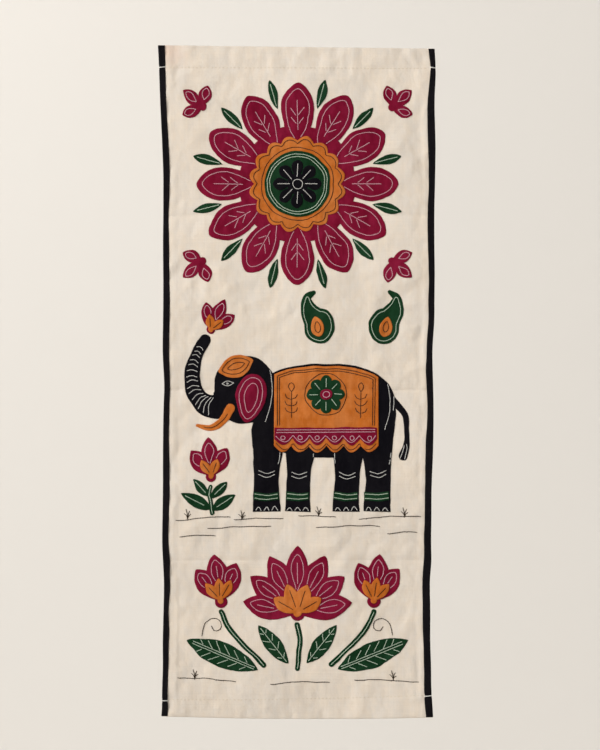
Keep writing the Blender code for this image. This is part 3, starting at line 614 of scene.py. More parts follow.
# A little sprig, in shares of its height: stem, roots of the leaves, a leaf's bend and tip, and the bud
SPRIG_STEM = 0.72
SPRIG_PAIRS = (0.14, 0.34, 0.54)
SPRIG_LEAF = ((68, 0.11), (48, 0.2))
SPRIG_BUD = (0.74, 0.26, 0.15)

# Millimetres between a sprig's stem and its leaves
SPRIG_GAP = 0.8


def back_height(at):
    """Height of the elephant's back above its feet."""
    x, height, half_width, half_height, boxy = BODY
    across = np.minimum(np.abs(at - x) / half_width, 1.0)
    return height + half_height * (1 - across**boxy) ** (1 / boxy)


def saddle_hem(raised, inset):
    """The scalloped hem of the saddle cloth."""
    x = np.linspace(SADDLE_LEFT + inset, SADDLE_RIGHT - inset, SADDLE_SCALLOPS * SCALLOP_POINTS + 1)
    dip = SADDLE_SCALLOP_DEPTH * np.abs(np.sin(math.pi * np.arange(len(x)) / SCALLOP_POINTS))
    return np.column_stack(spot(x, SADDLE_HEM + raised - dip))


def saddle_outline(raised=0.0, top=math.inf, inset=0.0):
    """The saddle cloth, or a band of it between a raised scalloped hem and a straight top."""
    x = np.linspace(SADDLE_RIGHT - inset, SADDLE_LEFT + inset, TOP_POINTS)
    back = np.column_stack(spot(x, np.minimum(back_height(x) - SADDLE_MARGIN, top)))
    return np.vstack([saddle_hem(raised, inset), back])


def saddle():
    centre = spot(*SADDLE_FLOWER_AT)
    petals = flower(*centre, SADDLE_FLOWER_PETALS, *SADDLE_FLOWER_RADII, SADDLE_PETAL_WIDTH)
    cut("saddle_cloth", saddle_outline(), 2, "orange")
    cut("saddle_border", saddle_outline(BORDER_RAISE, BORDER_TOP, BORDER_INSET), 3, "maroon")
    cut("saddle_flower", petals, 3, "green")
    cut("saddle_eye", circle(centre, SADDLE_EYE_RADIUS), 4, "maroon")
    sew("saddle_eye", circle(centre, SADDLE_EYE_CIRCLE), closed=True)
    sew("saddle_flower", *rays(centre, SADDLE_FLOWER_PETALS, *SADDLE_VEIN))
    sew("saddle_cloth", circle(centre, SADDLE_CIRCLE), closed=True)
    for inset in SADDLE_LINE_INSETS:
        x = np.linspace(SADDLE_LEFT + inset, SADDLE_RIGHT - inset, TOP_LINE_POINTS)
        height = np.pad(back_height(x) - SADDLE_MARGIN - inset, 1, constant_values=BORDER_TOP + 3)
        sew("saddle_cloth", np.column_stack(spot(np.pad(x, 1, mode="edge"), height)))
    sew("saddle_cloth", saddle_hem(*SADDLE_HEM_LINE))
    sew("saddle_border", saddle_hem(*BORDER_HEM_LINE))
    for height in (BORDER_TOP - down for down in BORDER_LINE_DROPS):
        sew("saddle_border", spots([(SADDLE_LEFT + 4, height), (SADDLE_RIGHT - 4, height)]))
    for k in range(SADDLE_SCALLOPS):
        x = SADDLE_LEFT + (k + 0.5) * (SADDLE_RIGHT - SADDLE_LEFT) / SADDLE_SCALLOPS
        sew("saddle_border", circle(spot(x, SADDLE_HEM + BEAD_RAISE), BEAD_RADIUS), closed=True)
    for x in SPRIG_XS:
        little_sprig("saddle_cloth", spot(x, SPRIG_FOOT), SPRIG_HEIGHT)


def little_sprig(on, root, height):
    """A stem with three pairs of leaves and a bud, in stitches."""
    sew(on, ray(root, 0, 0, height * SPRIG_STEM))
    for share in SPRIG_PAIRS:
        for side in (-1, 1):
            start = ahead(root, 0, height * share, side * SPRIG_GAP)
            ends = [ahead(start, side * heading, height * length) for heading, length in SPRIG_LEAF]
            sew(on, catmull([start, *ends]))
    bud, length, width = (height * share for share in SPRIG_BUD)
    sew(on, petal(*ahead(root, 0, bud), 0, length, width), closed=True)


# Sprays of petals: sprigs, and buds and the lotus, each with an orange cup on the second layer
SPRAYS = table(
    "name x drop heading petals spread length width outer_length layer",
    ("sprig_1", -129, 82, -50, 3, 62, 35, 18, 0.85, 1), ("sprig_2", 129, 82, 50, 3, 62, 35, 18, 0.85, 1),
    ("sprig_3", -129, 292, -130, 3, 62, 35, 18, 0.85, 1), ("sprig_4", 129, 292, 130, 3, 62, 35, 18, 0.85, 1),
    ("held_bud", -118, 386, 24, 3, 34, 45, 19, 0.85, 1), ("held_cup", -118, 386, 24, 2, 28, 21, 12, 1.0, 2),
    ("bush_bud", -118, 586, -4, 3, 34, 53, 24, 0.85, 1), ("bush_cup", -118, 585, -4, 2, 28, 25, 13, 1.0, 2),
    ("lotus_flower", 0, 772, 0, 7, 78, 92, 34, 0.82, 1), ("lotus_cup", 0, 771, 0, 4, 60, 42, 20, 0.9, 2),
    ("bud_left", -104, 756, -8, 3, 30, 65, 30, 0.86, 1), ("bud_right", 104, 756, 8, 3, 30, 65, 30, 0.86, 1),
    ("cup_left", -104, 755, -8, 3, 34, 31, 14, 1.0, 2), ("cup_right", 104, 755, 8, 3, 34, 31, 14, 1.0, 2))

# Leaves, and stems as rows of x, drop and width, of the lotus bed and of the flowering bush
LEAF = "x drop heading length width"
LEAVES = table(LEAF, (-54, 848, -68, 104, 34), (54, 848, 68, 104, 34), (-13, 840, -38, 66, 22),
               (13, 840, 38, 66, 22))
BUSH_LEAVES = table(LEAF, (-118, 630, -62, 46, 17), (-118, 632, 58, 40, 16), (-119, 614, -44, 34, 13),
                    (-118, 616, 44, 32, 13))
STEMS = (
    ((0, 788, 7), (3, 812, 7), (0, 846, 7)),
    ((-104, 770, 7), (-89, 798, 7), (-46, 842, 7)),
    ((104, 770, 7), (89, 798, 7), (46, 842, 7)))
BUSH_STEM = ((-118, 599, 5), (-120, 612, 6), (-116, 636, 6))
WIDE_PETAL = 29.0
WIDE_LEAF = 30.0

# Stitched lines of the sprays and leaves, mostly in shares of a petal's or a leaf's length
CUP_VEIN = (0.22, 0.78)
INNER_ROOT, INNER_LENGTH, INNER_WIDTH = 0.32, 0.56, 0.52
WIDE_PETAL_VEIN = (0.44, 0.74)
BUSH_LEAF_VEIN = (0.24, 0.86)
MIDDLE_VEIN, MIDDLE_VEIN_HALF_GAP = (0.05, 0.92), 1.5
VEINS_FROM, VEINS_RUN, VEIN_REACH, VEIN_TURN = 0.16, 0.62, 0.95, 42


def part_of_ray(root, heading, length, shares):
    return ray(root, heading, *(length * share for share in shares))


def leaf(row):
    return petal(*row, POINTED, LEAF_PEAK)


def leaf_veins(row, on):
    """A middle vein, double on a wide leaf, and slanting veins on both sides."""
    root, wide = (row.x, row.drop), row.width > WIDE_LEAF
    asides, pairs = ((-MIDDLE_VEIN_HALF_GAP, MIDDLE_VEIN_HALF_GAP), 6) if wide else ((0.0,), 4)
    for aside in asides:
        sew(on, [ahead(root, row.heading, row.length * share, aside) for share in MIDDLE_VEIN])
    for share in VEINS_FROM + VEINS_RUN * np.arange(pairs) / (pairs - 1):
        reach = row.width / 2 * math.sin(math.pi * share) ** POINTED * VEIN_REACH
        sew(on, *slants(root, row.heading, row.length * share, max(asides) + VEIN_GAP, VEIN_TURN, reach))


def flowers_and_leaves():
    for row in SPRAYS:
        root, maroon = (row.x, row.drop), row.layer == 1
        cut(row.name, spray(row), row.layer, "maroon" if maroon else "orange")
        for heading, length in spray_petals(row):
            if not maroon:
                sew(row.name, part_of_ray(root, heading, length, CUP_VEIN))
                continue
            size = (length * INNER_LENGTH, row.width * INNER_WIDTH)
            start = ahead(root, heading, length * INNER_ROOT)
            sew(row.name, petal(*start, heading, *size, POINTED), closed=True)
            if row.width > WIDE_PETAL:
                sew(row.name, part_of_ray(root, heading, length, WIDE_PETAL_VEIN))
    for number, row in enumerate(LEAVES, start=1):
        cut(f"leaf_{number}", leaf(row), 1, "green")
        leaf_veins(row, f"leaf_{number}")
    for number, rows in enumerate(STEMS, start=1):
        cut(f"stem_{number}", limb(rows), 1, "green")
        sew(f"stem_{number}", catmull(rows)[:, :2])
    cut("bush_leaves", merged([limb(BUSH_STEM), *(leaf(row) for row in BUSH_LEAVES)]), 1, "green")
    sew("bush_leaves", catmull(BUSH_STEM)[:, :2])
    for row in BUSH_LEAVES:
        sew("bush_leaves", part_of_ray((row.x, row.drop), row.heading, row.length, BUSH_LEAF_VEIN))


# Paisleys, as rows of x, drop and the curl's side, and the curl, as rows of aside, rise and width
PAISLEYS = ((30.0, 381.0, -1), (118.0, 381.0, 1))
PAISLEY_RADIUS = 21.0
PAISLEY_STRETCH = 1.15
PAISLEY_CURL = ((0, 0, 40), (14, 22, 25), (17, 38, 13), (8, 46, 6))
PAISLEY_LINE = 4.2
PAISLEY_TIP = 1.2

# Drop-shaped eye of a paisley: its root below the middle, heading, length, width, power and peak
EYE_DROP, EYE_HEADING, EYE_LENGTH, EYE_WIDTH = 14.0, 12.0, 28.0, 18.0
EYE_SHAPE = (0.7, 0.4)
EYE_LINE, EYE_LINE_ROOT = (15.0, 7.5), 6


def paisley_body(x, drop, side, narrower=0.0):
    """The body and curl of a paisley, or the same shape drawn in by a margin, with a shorter curl."""
    curl = [(x + side * aside, drop - rise, max(width - 2 * narrower, PAISLEY_TIP))
            for aside, rise, width in PAISLEY_CURL[:3 if narrower else 4]]
    body = ellipse(x, drop, PAISLEY_RADIUS - narrower, PAISLEY_RADIUS * PAISLEY_STRETCH - narrower)
    return merged([body, limb(curl)])


def paisleys():
    for number, (x, drop, side) in enumerate(PAISLEYS, start=1):
        root, heading = (x, drop + EYE_DROP), side * EYE_HEADING
        cut(f"paisley_{number}", paisley_body(x, drop, side), 1, "green")
        cut(f"paisley_eye_{number}", petal(*root, heading, EYE_LENGTH, EYE_WIDTH, *EYE_SHAPE), 2, "orange")
        sew(f"paisley_{number}", paisley_body(x, drop, side, PAISLEY_LINE), closed=True)
        loop = petal(*ahead(root, heading, EYE_LINE_ROOT), heading, *EYE_LINE, *EYE_SHAPE)
        sew(f"paisley_eye_{number}", loop, closed=True)


# Lines stitched on the ground: the earth under the elephant and the bed, as rows of x, drop, x and drop
EARTH_LINES = (
    (-166, 646, -92, 641), (-86, 645, -20, 643), (2, 640, 52, 641), (84, 644, 168, 640),
    (-122, 657, -36, 654), (26, 656, 112, 653), (-160, 668, -112, 667), (124, 664, 162, 662),
    (-162, 860, -84, 864), (-36, 868, 44, 865), (78, 862, 164, 865))

# Tufts of grass, their blades as rows of heading and length, how the lines bend, and tendrils
TUFTS = ((-150, 643), (-76, 644), (28, 639), (146, 641), (-140, 861), (130, 862))
TUFT_BLADES = ((-34, 8), (-10, 12), (16, 10), (38, 7))
BLADE_BEND = (0.5, 0.55)
EARTH_RISE = 1.2
TENDRILS = ((-130, 802, 1), (130, 802, -1))
TENDRIL_KNOTS = ((0, 0), (4, -15), (14, -23), (25, -19), (26, -9), (18, -6), (14, -12))


def earth():
    for x, drop, to_x, to_drop in EARTH_LINES:
        middle = ((x + to_x) / 2, (drop + to_drop) / 2 - EARTH_RISE)
        sew("ground_cloth", catmull([(x, drop), middle, (to_x, to_drop)]))
    for root in TUFTS:
        for heading, length in TUFT_BLADES:
            bend = ahead(root, heading * BLADE_BEND[0], length * BLADE_BEND[1])
            sew("ground_cloth", catmull([root, bend, ahead(root, heading, length)]))
    for x, drop, side in TENDRILS:
        sew("ground_cloth", catmull([(x + side * aside, drop + fall) for aside, fall in TENDRIL_KNOTS]))


for draw in (rosette, elephant, face_and_body, saddle, paisleys, flowers_and_leaves, earth):
    draw()
PIECES.sort(key=lambda piece: piece.layer)
NUMBERS = {piece.name: number for number, piece in enumerate(PIECES, start=1)}
NUMBERS["ground_cloth"] = 0
WINDOW_MARGIN = 8


def inside(outline, x, drop):
    """Whether points lie inside a closed outline."""
    within = np.zeros(np.shape(x), dtype=bool)
    for (to_x, to_drop), (from_x, from_drop) in zip(outline, np.roll(outline, 1, axis=0)):
        if to_drop == from_drop:
            continue
        spans = (from_drop > drop) != (to_drop > drop)
        crossing = from_x + (to_x - from_x) * (drop - from_drop) / (to_drop - from_drop)
        within ^= spans & (x < crossing)
    return within


def footprint(outline):
    """The window of the map around an outline, and the places in it that lie inside the outline."""
    top, left = nearest_cell(*(outline.min(axis=0) - WINDOW_MARGIN))
    bottom, right = nearest_cell(*(outline.max(axis=0) + WINDOW_MARGIN))
    part = slice(top, bottom + 1), slice(left, right + 1)
    x, drop = np.meshgrid(MAP_X[part[1]], MAP_DROP[part[0]])
    covered = inside(outline, x, drop)
    return part, covered, np.column_stack([x[covered], drop[covered]])


def topmost():
    """A map of the number of the piece that lies on top."""
    chart = np.zeros((len(MAP_DROP), len(MAP_X)), dtype=int)
    for piece in PIECES:
        part, covered, _ = footprint(piece.outline)
        chart[part][covered] = NUMBERS[piece.name]
    return chart


TOPMOST = topmost()


def along(points, closed):
    """The points of a line, closed where it should be, and the length up to each."""
    if closed:
        points = np.vstack([points, points[:1]])
    lengths = np.hypot(*np.diff(points, axis=0).T)
    return points, np.concatenate([[0.0], np.cumsum(lengths)])


def spaced(points, lengths, count):
    """Evenly spaced points along a line."""
    stops = np.linspace(0, lengths[-1], count)
    return np.column_stack([np.interp(stops, lengths, points[:, k]) for k in range(2)])


def stops_along(points, closed, pitch, least=1):
    """Evenly spaced points along a line, about a pitch apart."""
    points, lengths = along(points, closed)
    return spaced(points, lengths, max(least, round(lengths[-1] / pitch)) + 1)


CLIP_STEP = 0.6
CLIP_MARGIN = 1.0
SHORTEST_RUN = 3.0


def shown_runs(line):
    """The stretches of a line that lie on its own piece, where no other piece covers it."""
    points, lengths = along(line.points, line.closed)
    points = spaced(points, lengths, max(4, int(lengths[-1] / CLIP_STEP)))
    shown = np.ones(len(points), dtype=bool)
    for shift in ((0, 0), (-1, 0), (1, 0), (0, -1), (0, 1)):
        cells = nearest_cell(*(points + CLIP_MARGIN * np.array(shift)).T)
        shown &= TOPMOST[cells] == NUMBERS[line.on]
    if line.closed and not shown.all() and shown.any():
        first = int(np.argmin(shown))
        points, shown = np.roll(points[:-1], -first, axis=0), np.roll(shown[:-1], -first)
    changes = np.flatnonzero(np.diff(shown)) + 1
    return [run for run, on in zip(np.split(points, changes), np.split(shown, changes))
            if on[0] and len(run) * CLIP_STEP > SHORTEST_RUN]


# Stitches: their pitch along a line, by thread, and how far round them they draw the cloth in
CHAIN_PITCH = 2.5
DARK_PITCH = 3.3
PULL_REACH = 1.6
PULL_CELLS = 3


def stations():
    """Where each stitch starts and ends, for each thread."""
    found = {}
    for line in LINES:
        pitch = DARK_PITCH if line.thread == "dark" else CHAIN_PITCH
        for run in shown_runs(line):
            stops = stops_along(run, False, pitch)
            found.setdefault(line.thread, []).append((stops[:-1], stops[1:]))
    return {thread: [np.vstack(part) for part in zip(*pairs)] for thread, pairs in found.items()}


STITCHES = stations()


def stamp(chart, at, way, height, kind):
    """Adds soft bumps of one kind to a map, each longer along its own way."""
    cells, from_x, from_drop = cells_around(at, kind.reach)
    way_x, way_drop = way.T[:, :, None, None]
    on = from_x * way_x + from_drop * way_drop
    off = from_drop * way_x - from_x * way_drop
    bumps = np.exp(-(on / kind.half_along) ** 2 - (off / kind.half_across) ** 2)
    np.add.at(chart, cells, height[:, None, None] * bumps)


# Puckers and pleats: their spacing, slip, slant, depth and size, and the ends and count of a row of them
Puckers = namedtuple("Puckers", "apart slip slant depth half_along half_across reach start end count",
                     defaults=(0.0, 0.0, 0))
RIM_PUCKERS = Puckers(9.5, 2.0, 0.0, (0.04, 0.20), 6.0, 2.5, 14)
EDGE_PUCKERS = Puckers((7.0, 13.0), 0.0, 0.35, (0.04, 0.28), 9.0, 2.6, 22, 0.0, HEIGHT - 6, 90)
SEAM_GATHERS = Puckers((3.5, 11.5), 2.0, 0.3, (0.05, 0.26), 10.0, 2.0, 24, -176.0, 174.0, 60)
HEM_PLEATS = Puckers((3.5, 8.5), 2.5, 0.06, (0.04, 0.17), 10.0, 1.9, 17, -180.0, 176.0, 90)
SEAM_TROUGH = Puckers(4.0, 0.0, 0.0, (0.2, 0.2), 2.4, 1.5, 8, -178.0, 178.0)
UPRIGHT = math.pi / 2


def either_way(most, like):
    return rng.uniform(-most, most, len(like))


def row_of(kind):
    """Places along a row of puckers, unevenly apart."""
    places = kind.start + np.cumsum(rng.uniform(*kind.apart, kind.count))
    return places[places < kind.end]


def press(chart, kind, at, way, sign=-1):
    """Presses puckers of one kind into a map, each with a depth of its own."""
    stamp(chart, at, way, sign * rng.uniform(*kind.depth, len(at)), kind)


def rim_puckers(chart):
    """Small troughs across the edge of each piece on the ground, where its stitches draw the cloth in."""
    for piece in PIECES:
        if piece.layer > 1:
            continue
        stops = stops_along(piece.outline, True, RIM_PUCKERS.apart, 3)
        way = unit(np.diff(stops, axis=0))
        middle = (stops[:-1] + stops[1:]) / 2 + way * either_way(RIM_PUCKERS.slip, way)[:, None]
        press(chart, RIM_PUCKERS, middle, quarter_turn(way))


def edge_puckers(chart):
    """Small level troughs along both bindings."""
    for side, sign in INWARD.items():
        drop = row_of(EDGE_PUCKERS)
        x = through(EDGES, side, drop) + sign * (through(EDGES, side + "_binding", drop) + 1)
        press(chart, EDGE_PUCKERS, np.column_stack([x, drop]), headings(either_way(EDGE_PUCKERS.slant, drop)))


def seam_gathers(chart):
    """Small upright troughs along both hem seams, and narrow pleats in the hems themselves."""
    for seam in SEAMS:
        x = row_of(SEAM_GATHERS)
        drop = seam + lower_by(seam, x) + either_way(SEAM_GATHERS.slip, x)
        way = headings(UPRIGHT + either_way(SEAM_GATHERS.slant, x))
        press(chart, SEAM_GATHERS, np.column_stack([x, drop]), way)
    for middle in HEM_MIDDLES:
        x = row_of(HEM_PLEATS)
        drop = middle + either_way(HEM_PLEATS.slip, x)
        way = headings(UPRIGHT + rng.normal(0, HEM_PLEATS.slant, len(x)))
        press(chart, HEM_PLEATS, np.column_stack([x, drop]), way, rng.choice((-1.0, 1.0), len(x)))
    x = np.arange(SEAM_TROUGH.start, SEAM_TROUGH.end, SEAM_TROUGH.apart)
    for seam in SEAMS:
        line = np.column_stack([x, seam + lower_by(seam, x)])
        stamp(chart, line, headings(0 * x), np.full(len(x), -SEAM_TROUGH.depth[0]), SEAM_TROUGH)


def bands_beside(side, x, drop):
    """The ridge and trough beside a binding, stronger in some places than in others."""
    sign = INWARD[side]
    level = np.clip(drop, 0, HEIGHT)
    inset = sign * (x - through(EDGES, side, level)) - through(EDGES, side + "_binding", level)
    ripples = uneven(CREASE_WAVES, BAND_WAVES_AT * sign, drop)
    strength = np.clip(BAND_STRENGTH + BAND_SWAY * ripples, 0, BAND_MOST)
    return strength * sum(band.rise * np.exp(-((inset - band.inset) / band.half_width) ** 2)
                          for band in SIDE_BANDS[side])


def fold_shape(fold, x, drop):
    """One soft fold, fading out at both ends."""
    run = math.hypot(fold.to_x - fold.x, fold.to_drop - fold.drop)
    way = ((fold.to_x - fold.x) / run, (fold.to_drop - fold.drop) / run)
    on = ((x - fold.x) * way[0] + (drop - fold.drop) * way[1]) / run
    off = (drop - fold.drop) * way[0] - (x - fold.x) * way[1]
    ends = ease(on, *FOLD_FADES_IN) * ease(on, *FOLD_FADES_OUT)
    return fold.rise * ends * np.exp(-((off / fold.half_width) ** 2))


def surface():
    """A map of how far forward the middle of the ground cloth lies."""
    x, drop = np.meshgrid(MAP_X, MAP_DROP)
    level = np.clip(MAP_DROP, 0, HEIGHT)
    middle = through(LEAN, "forward", level)
    for section in SECTIONS:
        share = np.clip((level - section.start) / (section.end - section.start), 0, 1)
        middle = middle + section.bow * np.sin(math.pi * share)
    reach = ease(np.abs(MAP_X), SWAY_STARTS, SWAY_FULL)
    left, right = (np.outer(through(SWAY, side, level), reach) for side in INWARD)
    chart = middle[:, None] + np.where(x < 0, left, right)
    for start, full, rows in FLUTES:
        for flute in rows:
            away = np.minimum(np.abs(MAP_X - flute.x) / flute.half_width, 1.0)
            trough = flute.depth * 0.5 * (1 + np.cos(math.pi * away))
            chart -= FLUTE_SHARE * np.outer(ease(level, start, full), trough)
    for crease in CREASES:
        line = crease.drop + CREASE_WANDER * uneven(CREASE_WAVES, x, crease.drop)
        chart -= crease.depth * np.exp(-np.abs(drop - line) / CREASE_REACH)
    for fold in FOLDS:
        chart += fold_shape(fold, x, drop)
    chart += ease(drop, 0, TOP_CALM) * BROAD_RISE * uneven(BROAD_WAVES, x, drop)
    for ripples, rise in CRUMPLES:
        chart += rise * np.abs(uneven(ripples, x, CRUMPLE_STRETCH * drop))
    chart += bands_beside("left", x, drop) + bands_beside("right", x, drop)
    for add in (rim_puckers, edge_puckers, seam_gathers):
        add(chart)
    return chart


def stitch_pull():
    """A map of how much the embroidery draws the cloth down, from 0 to 1."""
    chart = np.zeros((len(MAP_DROP), len(MAP_X)))
    for starts, ends in STITCHES.values():
        cells, from_x, from_drop = cells_around((starts + ends) / 2, PULL_CELLS)
        np.maximum.at(chart, cells, np.exp(-(np.hypot(from_x, from_drop) / PULL_REACH) ** 2))
    return chart


SURFACE = surface()
PULL = stitch_pull()
STACK = np.zeros_like(SURFACE)

# Thickness of the cloths, and the room between them
CLOTH_HALF = 0.42
HEM_STEP = 1.15
SEWN_GAP = 0.12
BINDING_HALF = 0.40
EDGE_SHAPE = table("inset thickness", (0.0, 0.26), (0.4, 0.58), (1.1, 0.74), (3.4, 0.72), (5.6, 0.60))
PULL_DEPTH = 0.26
CALM_RIM = (0.3, 2.0)
PUFF_WAVES = waves(16.0)
PUFF = 0.035

# Triangles of a sewn piece: steps along its rim, what counts as a corner, and the field of points inside
RIM_STEP = 1.3
CORNER = math.radians(32)
RIM_SEARCH_STEP = 0.4
FILL_PITCH = 2.6
FILL_ROWS = 0.866
FILL_MARGIN = 2.3
ROW_LEAST = 0.85

# How far a piece bridges the steps under it, and how far in from its rim it is rubbed paler and carries a
# painted highlight along its turned edge
LYING_REACH = 3
WEAR_AND_HIGHLIGHT_REACH = 2.2


def show(thing):
    """Adds an object to the scene."""
    bpy.context.scene.collection.objects.link(thing)
    return thing


def solid(name, points, faces, material):
    """A smooth object made of these points and faces."""
    mesh = bpy.data.meshes.new(name)
    mesh.from_pydata(points, [], faces)
    mesh.shade_smooth()
    mesh.materials.append(material)
    return show(bpy.data.objects.new(name, mesh))


def place(points):
    """Points of x, drop and forward, in metres in the shared frame."""
    x, drop, forward = np.asarray(points, dtype=float).T
    return np.column_stack([x, -forward, -drop]) * MM


def build(name, points, faces, material, slot=None, node=None, rim=None):
    """A piece made of triangles that face outwards, riding on the panel."""
    points, faces = place(points), np.asarray(faces, dtype=int)
    corners = (points - points.mean(axis=0))[faces]
    if np.einsum("ij,ij", corners[:, 0], np.cross(corners[:, 1], corners[:, 2])) < 0:
        faces = faces[:, ::-1]
    piece = solid(name, points.tolist(), faces.tolist(), material)
    if rim is not None:
        piece.data.attributes.new("rim", "FLOAT", "POINT").data.foreach_set("value", rim)
    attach(piece, "root")
    if node:
        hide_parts(node)
    return piece


def split(a, b, c, d):
    """Two triangles for each four-sided face."""
    return [np.column_stack([a, b, c]), np.column_stack([a, c, d])]


def shell(outer, inner):
    """Points and triangles of a closed sheet between two grids of points."""
    rows, columns = outer.shape[:2]
    points = np.concatenate([outer, inner[:, ::-1]], axis=1).reshape(-1, 3)
    around = 2 * columns
    first = (np.arange(rows - 1)[:, None] * around + np.arange(around)).ravel()
    second = first + np.tile(np.append(np.ones(around - 1, dtype=int), 1 - around), rows - 1)
    faces = split(first, second, second + around, first + around)
    near = np.arange(columns - 1)
    far = around - 1 - near
    faces += [part[:, ::-1] for part in split(near, near + 1, far - 1, far)]
    near, far = near + (rows - 1) * around, far + (rows - 1) * around
    faces += split(near, near + 1, far - 1, far)
    return points, np.vstack(faces)


# Rows and columns of the ground, closer near its edges, its top and its creases
GROUND_COLUMNS = 130
EDGE_COLUMNS = 13
EDGE_SHARE = 0.06
GROUND_STEP = 3.0
FINE_STEP = 2.2
FINE_ROWS_END = 62.0
CREASE_ROWS = (-2.6, -1.3, 0.0, 1.3, 2.6)
CREASE_ROOM = 0.8
FOLD_STEPS = 5
BINDING_FOLD = 1.3
GROUND_PULL = 0.3
FACING_FRONT = 0.9


def column_shares():
    """Where the columns of the ground lie from its left edge, 0, to its right edge, 1."""
    knots = (0, EDGE_COLUMNS, GROUND_COLUMNS - 1 - EDGE_COLUMNS, GROUND_COLUMNS - 1)
    return np.interp(np.arange(GROUND_COLUMNS), knots, (0.0, EDGE_SHARE, 1.0 - EDGE_SHARE, 1.0))


def front_drops():
    """The rows down the front."""
    fine = np.arange(FINE_STEP, FINE_ROWS_END, FINE_STEP)
    even = np.append(fine, np.arange(FINE_ROWS_END, HEIGHT - 2, GROUND_STEP))
    creased = np.array([crease.drop + shift for crease in CREASES for shift in CREASE_ROWS])
    away = np.abs(even[:, None] - creased).min(axis=1)
    return np.sort(np.concatenate([even[away > CREASE_ROOM], creased]))


def ground_path():
    """The sheet's rows: up the back of one hem, round its fold, down the front, round and up the other hem.

    Each has its drop, how far back it lies, and the way its outer face looks, from 0, forward, to pi."""
    radius = HEM_STEP / 2
    turns = np.linspace(0, math.pi, FOLD_STEPS + 1)
    folded = [(radius * (1 - math.sin(turn)), radius * (1 - math.cos(turn)), turn) for turn in turns]
    path = [(drop, HEM_STEP, math.pi) for drop in np.arange(TOP_HEM_END, 2.0, -GROUND_STEP)]
    path += folded[::-1]
    path += [(drop, 0.0, 0.0) for drop in front_drops()]
    path += [(HEIGHT - inset, back, turn) for inset, back, turn in folded]
    last = np.append(np.arange(HEIGHT - GROUND_STEP, BOTTOM_HEM_END, -GROUND_STEP), BOTTOM_HEM_END)
    path += [(drop, HEM_STEP, math.pi) for drop in last]
    return np.array(path).T[:, :, None]


def ground_cloth(material):
    base, back, turn = ground_path()
    left = through(EDGES, "left", base) + BINDING_FOLD
    right = through(EDGES, "right", base) - BINDING_FOLD
    x = left + (right - left) * column_shares()
    drop = base + lower_by(base, x)
    way = np.where(base < HEIGHT / 2, -1.0, 1.0) * np.sin(turn)
    middle = read(SURFACE, x, drop) - back
    half = np.full(base.shape, CLOTH_HALF)
    half[[0, -1]] *= 0.5
    pull = GROUND_PULL * read(PULL, x, drop) * (np.cos(turn) > FACING_FRONT)
    sides = []
    for sign in (1, -1):
        forward = middle + sign * half * np.cos(turn) - pull * (sign > 0)
        sides.append(np.stack([x, drop + sign * half * way, forward], axis=2))
    return build("ground", *shell(*sides), material, "cream_cotton", "ground_cloth")


def filtered_top(chart, reach):
    """The highest value of a chart within a reach, slightly smoothed."""
    padded = np.pad(chart, reach, mode="edge")
    shifts = [(down, across) for down in range(2 * reach + 1) for across in range(2 * reach + 1)
              if math.hypot(down - reach, across - reach) <= reach]
    rows, columns = chart.shape
    highest = np.max([padded[down:down + rows, across:across + columns] for down, across in shifts], axis=0)
    for _ in range(2):
        sides = np.pad(highest, ((1, 1), (0, 0)), mode="edge")
        highest = ((sides[:-2] + 2 * highest + sides[2:]) / 4).T
    return highest


def with_corners(outline, step):
    """Even points round a closed outline, with its sharp corners kept."""
    before = outline - np.roll(outline, 1, axis=0)
    after = np.roll(outline, -1, axis=0) - outline
    cross = before[:, 0] * after[:, 1] - before[:, 1] * after[:, 0]
    bend = np.abs(np.arctan2(cross, (before * after).sum(axis=1)))
    corners = np.nonzero(bend > CORNER)[0]
    if not len(corners):
        corners = np.array([0])
    outline = np.roll(outline, -corners[0], axis=0)
    corners = np.append(corners - corners[0], len(outline))
    outline = np.vstack([outline, outline[:1]])
    return np.vstack([stops_along(outline[start:end + 1], False, step)[:-1]
                      for start, end in zip(corners, corners[1:])])


def rim_tree(rim):
    """A search tree over points close together on a rim."""
    points, lengths = along(rim, True)
    points = spaced(points, lengths, int(lengths[-1] / RIM_SEARCH_STEP))
    tree = KDTree(len(points))
    for number, (x, drop) in enumerate(points):
        tree.insert((x, drop, 0.0), number)
    tree.balance()
    return tree


def depth_inside(tree, points):
    """Distance from each point to the rim."""
    return np.array([tree.find((x, drop, 0.0))[2] for x, drop in points])


def fill_points(rim, tree):
    """Points inside a rim: two rows close to it for its turned edge, and an even field."""
    inward = quarter_turn(unit(np.roll(rim, -1, axis=0) - np.roll(rim, 1, axis=0)))
    found = []
    for shape in EDGE_SHAPE[1:3]:
        row = rim + inward * shape.inset
        found.append(row[depth_inside(tree, row) > ROW_LEAST * shape.inset])
    low, high = rim.min(axis=0), rim.max(axis=0)
    field = []
    for k, drop in enumerate(np.arange(low[1], high[1], FILL_PITCH * FILL_ROWS)):
        across = np.arange(low[0] + (k % 2) * FILL_PITCH / 2, high[0], FILL_PITCH)
        field += [(x, drop) for x in across]
    field = np.array(field)
    field = field[inside(rim, *field.T)]
    if len(field):
        found.append(field[depth_inside(tree, field) > FILL_MARGIN])
    return np.vstack(found)


def thickness(depth, x, drop):
    """A sewn piece: rounded at its rim, thicker where its edge is turned under, and drawn in by stitches."""
    plain = np.interp(depth, column(EDGE_SHAPE, "inset"), column(EDGE_SHAPE, "thickness"))
    drawn = PUFF * uneven(PUFF_WAVES, x, drop) - PULL_DEPTH * read(PULL, x, drop)
    return plain + ease(depth, *CALM_RIM) * drawn


